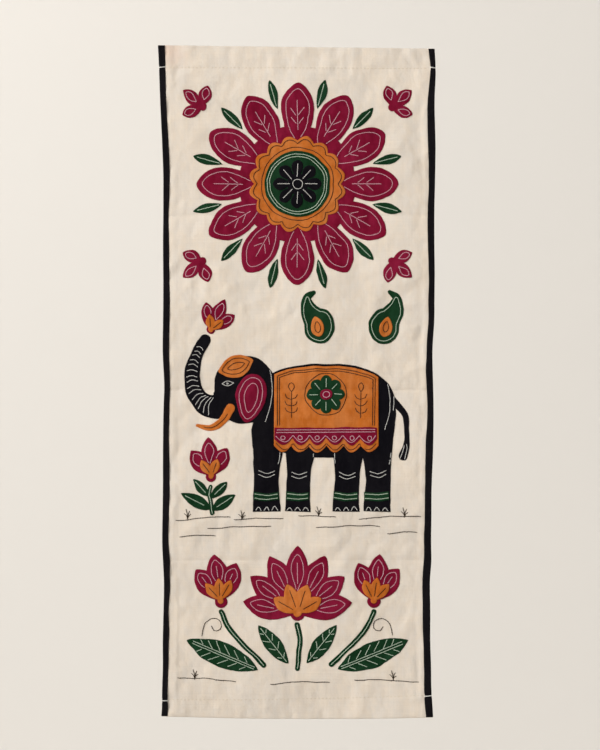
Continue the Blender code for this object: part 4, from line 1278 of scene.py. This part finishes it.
def sewn_piece(piece, material):
    """One cut piece, lying on what is under it."""
    rim = with_corners(piece.outline, RIM_STEP)
    tree = rim_tree(rim)
    corners = [Vector(point) for point in np.vstack([rim, fill_points(rim, tree)])]
    places, _, faces, _, _, _ = delaunay_2d_cdt(corners, [], [list(range(len(rim)))], 1, SNAP)
    used = sorted({number for face in faces for number in face})
    renumbered = {number: k for k, number in enumerate(used)}
    flat = np.array([places[number] for number in used])
    faces = [[renumbered[number] for number in face] for face in faces]
    part, covered, cells = footprint(piece.outline)
    lying = np.zeros_like(STACK)
    if STACK[part].any():
        lying[part] = filtered_top(STACK[part], LYING_REACH)
    depth = depth_inside(tree, flat)
    back = read(SURFACE, *flat.T) + CLOTH_HALF + SEWN_GAP + read(lying, *flat.T)
    front = back + thickness(depth, *flat.T)
    points = np.vstack([np.column_stack([flat, level]) for level in (back, front)])
    a, b = np.array(border(faces)).T
    faces = np.array(faces)
    faces = np.vstack([faces + len(flat), faces[:, ::-1], *split(a, b, b + len(flat), a + len(flat))])
    # Paler rims: rubbed wear, and a painted highlight along the turned edge
    worn = np.clip(1 - np.tile(depth, 2) / WEAR_AND_HIGHLIGHT_REACH, 0, 1)
    top = lying[part][covered] + SEWN_GAP + thickness(depth_inside(tree, cells), *cells.T)
    STACK[part][covered] = np.maximum(STACK[part][covered], top)
    return build(piece.name + "_cloth", points, faces, material, piece.cloth + "_cotton", piece.name, worn)


def top_of(x, drop):
    """How far forward the topmost cloth lies."""
    return read(SURFACE, x, drop) + CLOTH_HALF + read(STACK, x, drop)


# Bindings and the white threads that cross them at the hem seams
BARS = table("side drop slope", ("left", 28.0, -0.10), ("right", 28.7, 0.16), ("left", 890.3, 0.0),
             ("right", 883.2, -0.10))
BINDING_STEP = 2.5
FOLD_LINES = 9
HEM_FADE = 3.0
WRAP = 0.4
BINDING_WAVES = waves(11.0)
WIDTH_WAVES = waves(34.0)
WIDTH_SWAY = 0.16
BINDING_SWAY = 0.10
BINDING_GAP = 0.10
BINDING_MIDDLE = 0.4
PINCH_REACH = 2.0
RIM_PINCH, WIDTH_PINCH, FRONT_PINCH, BACK_PINCH = 0.5, 1.3, 0.25, 0.15
BAR_RADIUS = 0.30
BAR_STRANDS = (-0.31, 0.31)

# The way of a crossing thread over a binding, as rows of share of its width, inward and sunk, and its turn
BAR_ROUTE = ((1, 1.6, 1.25), (1, 0.5, 0.35), (1, -0.6, 0.0), (0.5, 0.0, -0.05), (0, 1.4, 0.0), (0, 0.1, 0.5))
BAR_TURN = -0.35

# Lines of a binding's leg, from its inner edge: share of its width, and plumpness
PLUMP = 1.15
LEG_LINES = ((1.0, 0.4), (0.96, 0.9), (0.86, PLUMP), (0.7, PLUMP), (0.5, 1.0), (0.33, 1.0))


def pinch(side, drop):
    """How much a crossing thread draws a binding in, from 0 to 1."""
    return sum(np.exp(-((drop - bar.drop) / PINCH_REACH) ** 2) for bar in BARS if bar.side == side)


def binding_levels(side, base):
    """The rim, drop, width, and front and back levels of a binding's cloth, at rows of the ground."""
    sign = INWARD[side]
    rim = through(EDGES, side, base)
    drop = base + lower_by(base, rim)
    width = through(EDGES, side + "_binding", base) + WIDTH_SWAY * uneven(WIDTH_WAVES, rim, drop)
    drawn = pinch(side, drop)
    middle = read(SURFACE, rim + sign * width * BINDING_MIDDLE, drop)
    top_hem = ease(base, TOP_HEM_END + HEM_FADE, TOP_HEM_END)
    bottom_hem = ease(base, BOTTOM_HEM_END - HEM_FADE, BOTTOM_HEM_END)
    room = CLOTH_HALF + BINDING_GAP + BINDING_HALF
    front = middle + room + BINDING_SWAY * uneven(BINDING_WAVES, rim, drop) - FRONT_PINCH * drawn
    back = middle - room - HEM_STEP * np.maximum(top_hem, bottom_hem) + BACK_PINCH * drawn
    return rim - sign * (WRAP - RIM_PINCH * drawn), drop, width + WRAP - WIDTH_PINCH * drawn, front, back


def binding(side, material):
    """A strip folded over one side edge: a leg in front, the fold, and a leg behind."""
    base = np.append(np.arange(0, HEIGHT, BINDING_STEP), HEIGHT)
    rim, drop, width, front, back = binding_levels(side, base)
    radius, middle = (front - back) / 2, (front + back) / 2
    lines = [(width * share, front, 1.0, 0.0, plump) for share, plump in LEG_LINES]
    for turn in np.linspace(0, math.pi, FOLD_LINES):
        inward, cosine, sine = BINDING_HALF + radius * (1 - math.sin(turn)), math.cos(turn), math.sin(turn)
        lines.append((inward, middle + radius * cosine, cosine, sine, 1.0))
    lines += [(width * share, back, -1.0, 0.0, plump) for share, plump in LEG_LINES[::-1]]
    sides = []
    for face in (BINDING_HALF, -BINDING_HALF):
        columns = []
        for inward, level, cosine, sine, plump in lines:
            x = rim + INWARD[side] * (inward - face * plump * sine)
            columns.append(np.column_stack([x, drop, level + face * plump * cosine]))
        sides.append(np.stack(columns, axis=1))
    return build(f"binding_{side}_cloth", *shell(*sides), material, "black_binding", "binding_" + side)


# Added to a length, so that nothing is divided by 0
TINY = 1e-9


def tubes(paths, radius, sides=3, closed=False):
    """Points and triangles of many short threads at once, along paths of x, drop and forward."""
    paths = np.asarray(paths, dtype=float)
    count, length = paths.shape[:2]
    onward = np.roll(paths, -1, axis=1) - np.roll(paths, 1, axis=1)
    if not closed:
        onward[:, [0, -1]] = paths[:, [1, -1]] - paths[:, [0, -2]]
    onward /= np.linalg.norm(onward, axis=2, keepdims=True) + TINY
    aside = np.cross(onward, (0.0, 0.0, 1.0))
    aside /= np.linalg.norm(aside, axis=2, keepdims=True) + TINY
    upward = np.cross(aside, onward)
    turns = [2 * math.pi * k / sides - math.pi / 2 for k in range(sides)]
    rings = [paths + radius * (math.cos(turn) * aside + math.sin(turn) * upward) for turn in turns]
    points = np.stack(rings, axis=2).reshape(-1, 3)
    here, side = np.divmod(np.arange((length if closed else length - 1) * sides), sides)
    onto, there = (side + 1) % sides, (here + 1) % length * sides
    faces = split(here * sides + side, here * sides + onto, there + onto, there + side)
    if not closed:
        k = np.arange(1, sides - 1)
        end = np.column_stack([k + 1, k, 0 * k])
        faces += [end, (length - 1) * sides + end[:, ::-1]]
    firsts = (np.arange(count) * length * sides)[:, None, None]
    return points, (np.vstack(faces) + firsts).reshape(-1, 3)


# Kinds of stitch, as rows of the share of its length, millimetres aside and height over the cloth
CHAIN_LINK = ((-0.04, 0.00, 0.08), (0.22, 0.20, 0.28), (0.55, 0.32, 0.36), (0.88, 0.23, 0.31),
              (1.08, 0.00, 0.20), (0.88, -0.23, 0.31), (0.55, -0.32, 0.36), (0.22, -0.20, 0.28))
STEM_STITCH = ((-0.16, -0.26, 0.0), (0.15, -0.15, 0.29), (0.85, 0.15, 0.29), (1.16, 0.26, 0.0))
PLAIN_STITCH = ((0.02, 0, -0.05), (0.25, 0.05, 0.24), (0.75, -0.05, 0.24), (0.98, 0, -0.05))
REVERSE_STITCH = ((0.12, 0, -0.05), (0.5, 0, 0.14), (0.88, 0, -0.05))
CHAIN_RADIUS = 0.21
STEM_RADIUS = 0.41
REVERSE_RADIUS = 0.17
SEAM_RADIUS = 0.26
SEAM_BACK_RADIUS = 0.22
LENGTH_SPREAD, TURN_SPREAD, WIDTH_SPREAD = 0.05, 0.05, 0.15

# Running stitches of the seams and the bindings: ends, pitch, length, and rows of onward and height
SEAM_START, SEAM_END = -176.0, 173.0
SEAM_PITCH, SEAM_SLIP, SEAM_STITCH, SEAM_STITCH_BEHIND = 5.2, 0.4, 3.3, 1.9
BINDING_STITCHES_START, BINDING_STITCHES_END = 4.0, HEIGHT - 6
BINDING_PITCH, BINDING_STITCH_INSET, BINDING_RADIUS = 6.2, 1.5, 0.2
BINDING_STITCH = ((0.0, -0.1), (1.0, 0.12), (2.8, 0.12), (3.8, -0.1))


def stitch_paths(starts, ends, bends, level, facing=1):
    """Paths of like stitches, each bent as the rows say, over the cloth that level gives."""
    ways = ends - starts
    count = len(ways)
    ways = ways * rng.uniform(1 - LENGTH_SPREAD, 1 + LENGTH_SPREAD, (count, 1))
    turn = rng.normal(0, TURN_SPREAD, count)[:, None]
    ways = ways * np.cos(turn) + quarter_turn(ways) * np.sin(turn)
    across = quarter_turn(unit(ways)) * rng.uniform(1 - WIDTH_SPREAD, 1 + WIDTH_SPREAD, (count, 1))
    paths = []
    for onward, aside, height in bends:
        at = starts + onward * ways + aside * across
        paths.append(np.column_stack([at, level(*at.T) + facing * height]))
    return np.stack(paths, axis=1)


def back_of(x, drop):
    return read(SURFACE, x, drop) - CLOTH_HALF


def back_of_hem(x, drop):
    return back_of(x, drop) - HEM_STEP


def embroidery(materials):
    """The stitched lines of each thread on the front, and what of them shows on the back."""
    made = []
    for thread, ends in STITCHES.items():
        if thread in ("dark", "brown"):
            front = tubes(stitch_paths(*ends, STEM_STITCH, top_of), STEM_RADIUS, sides=4)
        else:
            front = tubes(stitch_paths(*ends, CHAIN_LINK, top_of), CHAIN_RADIUS, closed=True)
        made.append(build("stitches_" + thread, *front, materials[thread]))
        behind = tubes(stitch_paths(*ends, REVERSE_STITCH, back_of, -1), REVERSE_RADIUS)
        made.append(build(f"stitches_{thread}_back", *behind, materials[thread]))
    return made


# Hemming: its pitch, radius and slip
HEMMING_PITCH = 3.7
HEMMING_RADIUS = 0.15
HEMMING_SLIP = 0.5

# How far in from the rim the cloths over and under it, and then their heights, are looked up
OVER_AT, UNDER_AT = 1.4, -0.9
HIGH_AT, LOW_AT = 0.9, -1.2

# Share of the step at the rim, and knots as rows of inset, slip along the rim, height, and level
RIM_HEIGHT = 0.6
HEMMING_KNOTS = ((1.15, 0.5, -0.10, "piece"), (0.7, 0.3, 0.14, "piece"), (0.05, 0.0, 0.18, "rim"),
                 (-0.3, -0.15, 0.0, "under"))
LAYERS = np.array([0] + [piece.layer for piece in PIECES])


def rim_stitches(piece):
    """Paths of the hemming round one piece, where it lies on a lower one."""
    stops = stops_along(piece.outline, True, HEMMING_PITCH, 4)
    way = unit(np.diff(stops, axis=0))
    rim = stops[:-1] + way * either_way(HEMMING_SLIP, way)[:, None]
    inward = quarter_turn(way)
    over, under = (TOPMOST[nearest_cell(*(rim + inset * inward).T)] for inset in (OVER_AT, UNDER_AT))
    number = NUMBERS[piece.name]
    shown = (over == number) & (under != number) & (LAYERS[under] < piece.layer)
    rim, way, inward = rim[shown], way[shown], inward[shown]
    low, high = (top_of(*(rim + inset * inward).T) for inset in (LOW_AT, HIGH_AT))
    paths = []
    for inset, slip, height, lies_on in HEMMING_KNOTS:
        at = rim + inset * inward + slip * way
        level = {"piece": top_of(*at.T), "rim": low + RIM_HEIGHT * (high - low), "under": low}[lies_on]
        paths.append(np.column_stack([at, level + height]))
    return np.stack(paths, axis=1)


def hemming(materials):
    """The small slanting stitches that hold the edge of each sewn piece, in thread of its own colour."""
    made = []
    for cloth in SEWN_CLOTHS:
        paths = np.concatenate([rim_stitches(piece) for piece in PIECES if piece.cloth == cloth])
        made.append(build("hemming_" + cloth, *tubes(paths, HEMMING_RADIUS), materials[cloth + "_thread"]))
    return made


def seam_stitches(material):
    """Running stitches across both hems, long on the front and short on the back."""
    starts, ends = [], []
    for seam in SEAMS:
        x = np.arange(SEAM_START, SEAM_END, SEAM_PITCH)
        x += either_way(SEAM_SLIP, x)
        for shift, rows in ((0.0, starts), (SEAM_STITCH, ends)):
            rows.append(np.column_stack([x + shift, seam + lower_by(seam, x + shift)]))
    starts, ends = np.vstack(starts), np.vstack(ends)
    front = stitch_paths(starts, ends, PLAIN_STITCH, top_of)
    behind = stitch_paths(ends, ends + (SEAM_STITCH_BEHIND, 0.0), PLAIN_STITCH, back_of_hem, -1)
    return [build("seam_stitches", *tubes(front, SEAM_RADIUS, sides=4), material),
            build("seam_stitches_back", *tubes(behind, SEAM_BACK_RADIUS, sides=4), material)]


def binding_stitches(material):
    """Black running stitches along the inner edge of each binding, on the front."""
    paths = []
    for side, sign in INWARD.items():
        rows = []
        for onward, height in BINDING_STITCH:
            base = np.arange(BINDING_STITCHES_START, BINDING_STITCHES_END, BINDING_PITCH) + onward
            rim, drop, width, front, _ = binding_levels(side, base)
            x = rim + sign * (width - BINDING_STITCH_INSET)
            rows.append(np.column_stack([x, drop, front + PLUMP * BINDING_HALF + height]))
        paths.append(np.stack(rows, axis=1))
    return build("binding_stitches", *tubes(np.concatenate(paths), BINDING_RADIUS, sides=4), material)


def crossing_threads(material):
    """Two strands of white thread wound round each binding at the ends of the hem seams."""
    paths = []
    for bar in BARS:
        base = bar.drop - lower_by(bar.drop, through(EDGES, bar.side, bar.drop))
        rim, _, width, front, back = binding_levels(bar.side, base)
        high, low = front + BINDING_HALF + BAR_RADIUS, back - BINDING_HALF - BAR_RADIUS
        run = [(share * width + inward, high - sunk) for share, inward, sunk in BAR_ROUTE]
        run.append((BAR_TURN, (high + low) / 2))
        run += [(share * width + inward, low + sunk) for share, inward, sunk in BAR_ROUTE[::-1]]
        for strand in BAR_STRANDS:
            across = [(INWARD[bar.side] * inward, forward) for inward, forward in run]
            paths.append([(rim + x, bar.drop + strand + bar.slope * x, forward) for x, forward in across])
    return build("crossing_threads", *tubes(paths, BAR_RADIUS, sides=6), material)


# Cloths: two shades of the dye, and how strong their slubs, blotches, sheen, and rims made paler by rubbing
# and by a painted highlight are
Cotton = namedtuple("Cotton", "first second streak blotch sheen worn")
COTTONS = {
    "cream": Cotton((0.748, 0.653, 0.545), (0.726, 0.656, 0.576), 0.11, 0.05, 0.05, 0.0),
    "black_strip": Cotton((0.0058, 0.0051, 0.0064), (0.0088, 0.0075, 0.0092), 0.28, 0.15, 0.03, 0.3),
    "maroon": Cotton((0.158, 0.0034, 0.0200), (0.212, 0.0086, 0.0342), 0.17, 0.14, 0.04, 0.10),
    "orange": Cotton((0.466, 0.120, 0.016), (0.545, 0.172, 0.041), 0.16, 0.12, 0.05, 0.08),
    "green": Cotton((0.0052, 0.0282, 0.0096), (0.0100, 0.0410, 0.0175), 0.26, 0.15, 0.04, 0.20),
    "black": Cotton((0.0038, 0.0033, 0.0052), (0.0066, 0.0059, 0.0079), 0.28, 0.15, 0.03, 0.30),
}
COTTON_ROUGHNESS = 0.95
SPECULAR = 0.04
SHEEN_ROUGHNESS = 0.45
WEAVE_PITCH = 0.00055
WEAVE_SWAY = 0.00030
# Painted shade between the threads of the weave: its share, and the least brightness left
WEAVE_PAINTED_SHADE, WEAVE_PAINTED_SHADE_LEAST = 0.16, 0.90
WEAVE_RELIEF = 0.05
SLUB_RELIEF = 0.03
CRINKLE_RELIEF = 0.45
DYE_RANGE = (0.78, 1.22)
RIM_POWER = 2.5

# Noises: cells a metre across and down the cloth, and detail
WOBBLE = (420.0, 420.0, 1.0)
WARP_SLUBS = (620.0, 14.0)
WEFT_SLUBS = (12.0, 800.0)
DYE_BANDS = (24.0, 12.0, 3.0)
DYE_MOTTLES = (130.0, 80.0, 3.0)
BLOTCHES = (26.0, 26.0, 4.0)
CRINKLES = (155.0, 138.0, 3.0)
STAIN_RIM = (70.0, 70.0, 3.0)
THREAD_DRIFT = (90.0, 90.0, 3.0)
THREAD_TWIST = (3200.0, 3200.0, 1.0)

# Threads: sheen, the share by which their shade drifts, the twist's depth in metres, colour and roughness
THREAD_SHEEN = 0.15
DRIFT_SHARE = 0.18
TWIST_DEPTH = 0.00008
TWIST_STRENGTH = 0.5
THREADS = {
    "pink": ((0.72, 0.44, 0.50), 0.62),
    "mint": ((0.60, 0.72, 0.57), 0.62),
    "white": ((0.74, 0.73, 0.69), 0.62),
    "brown": ((0.030, 0.008, 0.003), 0.70),
    "dark": ((0.036, 0.023, 0.012), 0.70),
    "cream_thread": ((0.72, 0.62, 0.48), 0.70),
    "black_thread": ((0.007, 0.006, 0.008), 0.75),
    "maroon_thread": ((0.18, 0.006, 0.026), 0.75),
    "orange_thread": ((0.46, 0.13, 0.024), 0.75),
    "green_thread": ((0.007, 0.034, 0.013), 0.75),
}

# Numbers of the colour inputs of a mix node
FIRST_COLOUR, SECOND_COLOUR = 6, 7

# A faint pink stain at the top left corner of the ground
STAIN_AT = (-0.178, 0.0, -0.004)
STAIN_REACH = 0.040
STAIN_SWAY = 0.03
STAIN_TINT = (0.985, 0.895, 0.865, 1.0)


def node(tree, kind, inputs=(), **settings):
    """A shader node with its settings, and its inputs given as values or as other nodes' outputs."""
    made = tree.nodes.new("ShaderNode" + kind)
    for key, value in settings.items():
        setattr(made, key, value)
    for key, value in dict(inputs).items():
        if isinstance(value, bpy.types.NodeSocket):
            tree.links.new(value, made.inputs[key])
        else:
            made.inputs[key].default_value = value
    return made


def calculate(tree, operation, first, second=0.0, third=0.0):
    return node(tree, "Math", {0: first, 1: second, 2: third}, operation=operation).outputs[0]


def scaled(tree, vector, by):
    return node(tree, "VectorMath", {0: vector, "Scale": by}, operation="SCALE").outputs[0]


def mixed(tree, share, first, second, **settings):
    """Two colours mixed by a share, or blended in the way that the settings name."""
    inputs = {0: share, FIRST_COLOUR: first, SECOND_COLOUR: second}
    return node(tree, "Mix", inputs, data_type="RGBA", **settings).outputs[2]


def noise(tree, vector, across, down, detail=2.0, output="Fac"):
    """Noise of so many cells a metre across and down the cloth."""
    stretched = node(tree, "Mapping", {"Vector": vector, "Scale": (across, across, down)}).outputs[0]
    return node(tree, "TexNoise", {"Vector": stretched, "Scale": 1.0, "Detail": detail}).outputs[output]


def weave_height(tree, vector):
    """Height of a plain weave, where each thread runs over one and under the next."""
    parts = node(tree, "SeparateXYZ", {"Vector": vector}).outputs
    swings = [calculate(tree, "SINE", calculate(tree, "MULTIPLY", parts[axis], math.pi / WEAVE_PITCH))
              for axis in ("X", "Z")]
    over = calculate(tree, "GREATER_THAN", calculate(tree, "MULTIPLY", *swings), 0.0)
    heights = [calculate(tree, "ABSOLUTE", swing) for swing in swings]
    return node(tree, "Mix", {0: over, 2: heights[0], 3: heights[1]}, data_type="FLOAT").outputs[0]


def start_material(name, roughness, sheen):
    """A new material's tree and shader, with what is the same all over the surface, and its coordinates."""
    material = bpy.data.materials.new(name)
    material.use_nodes = True
    tree = material.node_tree
    shader = tree.nodes["Principled BSDF"]
    for key, value in (("Roughness", roughness), ("Specular IOR Level", SPECULAR), ("Sheen Weight", sheen),
                       ("Sheen Roughness", SHEEN_ROUGHNESS)):
        shader.inputs[key].default_value = value
    return material, tree, shader, node(tree, "TexCoord").outputs["Object"]


def finish_material(tree, shader, colour, strength, distance, height):
    """Links the colour and a bump of this height to the shader."""
    bump = node(tree, "Bump", {"Strength": strength, "Distance": distance, "Height": height})
    tree.links.new(colour, shader.inputs["Base Color"])
    tree.links.new(bump.outputs[0], shader.inputs["Normal"])


def stained(tree, at, colour):
    """The colour with the stain's tint laid over it, uneven at its rim."""
    away = node(tree, "VectorMath", {0: at, 1: STAIN_AT}, operation="DISTANCE").outputs["Value"]
    ragged = calculate(tree, "MULTIPLY_ADD", noise(tree, at, *STAIN_RIM), STAIN_SWAY, -STAIN_SWAY / 2)
    share = node(tree, "MapRange", {0: calculate(tree, "ADD", away, ragged), 2: STAIN_REACH, 3: 1.0, 4: 0.0},
                 interpolation_type="SMOOTHSTEP").outputs[0]
    return mixed(tree, share, colour, STAIN_TINT, blend_type="MULTIPLY")


def dyed(tree, at, cotton, height, slubs):
    """The colour of a cloth: mottled dye with painted shade between threads, slubs, blotches, and rims made
    paler by rubbing and by a painted highlight.
    """
    mottled = calculate(tree, "ADD", noise(tree, at, *DYE_BANDS), noise(tree, at, *DYE_MOTTLES))
    share = node(tree, "MapRange", {0: mottled, 1: DYE_RANGE[0], 2: DYE_RANGE[1]}).outputs[0]
    tint = mixed(tree, share, (*cotton.first, 1.0), (*cotton.second, 1.0))
    # Rims made paler: rubbed wear, and a painted highlight along the turned edge
    rim = calculate(tree, "POWER", node(tree, "Attribute", attribute_name="rim").outputs["Fac"], RIM_POWER)
    value = calculate(tree, "MULTIPLY_ADD", slubs, cotton.streak, 1.0 - cotton.streak)
    for source, share, least in (
            (noise(tree, at, *BLOTCHES), 2 * cotton.blotch, 1.0 - cotton.blotch),
            # The weave's height paints shade between the threads
            (height, WEAVE_PAINTED_SHADE, WEAVE_PAINTED_SHADE_LEAST), (rim, cotton.worn, 1.0)):
        value = calculate(tree, "MULTIPLY", value, calculate(tree, "MULTIPLY_ADD", source, share, least))
    return scaled(tree, tint, value)


def cotton_material(name, cotton):
    """Plain-weave cotton with slubs and crinkles."""
    material, tree, shader, at = start_material(name, COTTON_ROUGHNESS, cotton.sheen)
    wobble = scaled(tree, noise(tree, at, *WOBBLE, "Color"), WEAVE_SWAY)
    woven = node(tree, "VectorMath", {0: at, 1: wobble}, operation="ADD").outputs[0]
    height = weave_height(tree, woven)
    slubs = calculate(tree, "ADD", noise(tree, at, *WARP_SLUBS), noise(tree, at, *WEFT_SLUBS))
    colour = dyed(tree, at, cotton, height, slubs)
    if name == "cream_cotton":
        colour = stained(tree, at, colour)
    relief = calculate(tree, "MULTIPLY", height, WEAVE_RELIEF)
    for source, share in ((slubs, SLUB_RELIEF), (noise(tree, at, *CRINKLES), CRINKLE_RELIEF)):
        relief = calculate(tree, "MULTIPLY_ADD", source, share, relief)
    finish_material(tree, shader, colour, 1.0, MM, relief)
    return material


def thread_material(name, thread):
    """Twisted cotton thread, with its shade changing a little along it."""
    colour, roughness = thread
    material, tree, shader, at = start_material(name, roughness, THREAD_SHEEN)
    drift = noise(tree, at, *THREAD_DRIFT)
    shade = calculate(tree, "MULTIPLY_ADD", drift, 2 * DRIFT_SHARE, 1.0 - DRIFT_SHARE)
    twist = noise(tree, at, *THREAD_TWIST)
    finish_material(tree, shader, scaled(tree, colour, shade), TWIST_STRENGTH, TWIST_DEPTH, twist)
    return material


COTTON_MATERIALS = {name: cotton_material(name + "_cotton", cotton) for name, cotton in COTTONS.items()}
THREAD_MATERIALS = {name: thread_material(name + "_thread", thread) for name, thread in THREADS.items()}

ground = ground_cloth(COTTON_MATERIALS["cream"])
sewn = [sewn_piece(piece, COTTON_MATERIALS[piece.cloth]) for piece in PIECES]
sewn += [binding(side, COTTON_MATERIALS["black_strip"]) for side in INWARD]
sewn += embroidery(THREAD_MATERIALS)
sewn += hemming(THREAD_MATERIALS)
sewn += seam_stitches(THREAD_MATERIALS["cream_thread"])
sewn.append(binding_stitches(THREAD_MATERIALS["black_thread"]))
sewn.append(crossing_threads(THREAD_MATERIALS["white"]))

# Studio, in metres
FLOOR = -2.4
BACKDROP = 4.2
SWEEP_RADIUS = 0.85
SWEEP_STEPS = 24
STUDIO_HALF = 22.0
STUDIO_TOP = 9.0
STUDIO_FRONT = -22.0
PAPER = (0.735, 0.708, 0.668, 1.0)


def studio():
    """A pale floor that sweeps up into a backdrop far behind the panel."""
    sweep = SWEEP_RADIUS * (1 - headings(np.linspace(0, math.pi / 2, SWEEP_STEPS + 1)))
    swept = [(BACKDROP - back, FLOOR + up) for up, back in sweep]
    profile = [(STUDIO_FRONT, FLOOR), *swept, (BACKDROP, STUDIO_TOP)]
    points = [(x, y, z) for y, z in profile for x in (-STUDIO_HALF, STUDIO_HALF)]
    faces = [(2 * k, 2 * k + 1, 2 * k + 3, 2 * k + 2) for k in range(len(profile) - 1)]
    material = bpy.data.materials.new("studio_paper")
    material.use_nodes = True
    shader = material.node_tree.nodes["Principled BSDF"]
    for key, value in (("Base Color", PAPER), ("Roughness", 1.0), ("Specular IOR Level", 0.0)):
        shader.inputs[key].default_value = value
    backdrop = solid("studio", points, faces, material)


# Lights: a broad one from the upper left, as from a large window, and three soft lamps
WARM_WHITE = (1.0, 0.985, 0.96)
FROM_WINDOW = (0.70, 0.50, -0.51)
WINDOW_POWER = 2.95
WINDOW_ANGLE = math.radians(26)
PANEL_MIDDLE = (0.0, 0.0, -0.45)

# The lamps: place, target, size in metres, watts and colour
LAMPS = (
    ("front_light", (-0.30, -1.0, -0.06), PANEL_MIDDLE, 0.8, 3.1, WARM_WHITE),
    ("back_light", (0.5, 2.2, 0.5), PANEL_MIDDLE, 1.0, 9.0, WARM_WHITE),
    ("backdrop_light", (-2.4, 1.4, 1.9), (-0.6, BACKDROP, 0.3), 2.0, 58.0, (1.0, 0.98, 0.96)))
HORIZON = (0.66, 0.645, 0.62, 1.0)
ZENITH = (0.09, 0.09, 0.095, 1.0)
HORIZON_TOP = 0.32


def light(kind, name, location, target, power, colour, **settings):
    data = bpy.data.lights.new(name, kind)
    for key, value in dict(settings, energy=power, color=colour).items():
        setattr(data, key, value)
    lamp = show(bpy.data.objects.new(name, data))
    lamp.location = location
    lamp.rotation_euler = (Vector(target) - Vector(location)).to_track_quat("-Z", "Y").to_euler()
    return lamp


def studio_air():
    """Air that is pale at the level of the horizon and darker overhead."""
    world = bpy.data.worlds.new("studio_air")
    world.use_nodes = True
    tree = world.node_tree
    way = node(tree, "SeparateXYZ", {"Vector": node(tree, "TexCoord").outputs["Generated"]}).outputs["Z"]
    share = node(tree, "MapRange", {0: calculate(tree, "ABSOLUTE", way), 2: HORIZON_TOP},
                 interpolation_type="SMOOTHSTEP").outputs[0]
    tree.links.new(mixed(tree, share, HORIZON, ZENITH), tree.nodes["Background"].inputs["Color"])
    return world


def lights():
    light("SUN", "window", (0.0, 0.0, 0.0), FROM_WINDOW, WINDOW_POWER, WARM_WHITE, angle=WINDOW_ANGLE)
    for name, location, target, size, watts, colour in LAMPS:
        lamp = light("AREA", name, location, target, watts, colour, shape="SQUARE", size=size)
        lamp.visible_camera = False
    bpy.context.scene.world = studio_air()
    bpy.context.scene.view_settings.view_transform = "Standard"


# Camera: straight on, with the photo's frame at the plane of the panel, in metres but for the lens
LENS = 135.0
SENSOR = 36.0
FRAME_HEIGHT = 1.0227
CAMERA_X = 0.0035
CAMERA_Z = -0.4475
PANEL_Y = -0.004


def camera():
    data = bpy.data.cameras.new("camera")
    data.lens = LENS
    data.sensor_width = SENSOR
    view = show(bpy.data.objects.new("camera", data))
    view.location = (CAMERA_X, PANEL_Y - FRAME_HEIGHT * LENS / SENSOR, CAMERA_Z)
    view.rotation_euler = (math.pi / 2, 0.0, 0.0)
    bpy.context.scene.camera = view


studio()
lights()
camera()
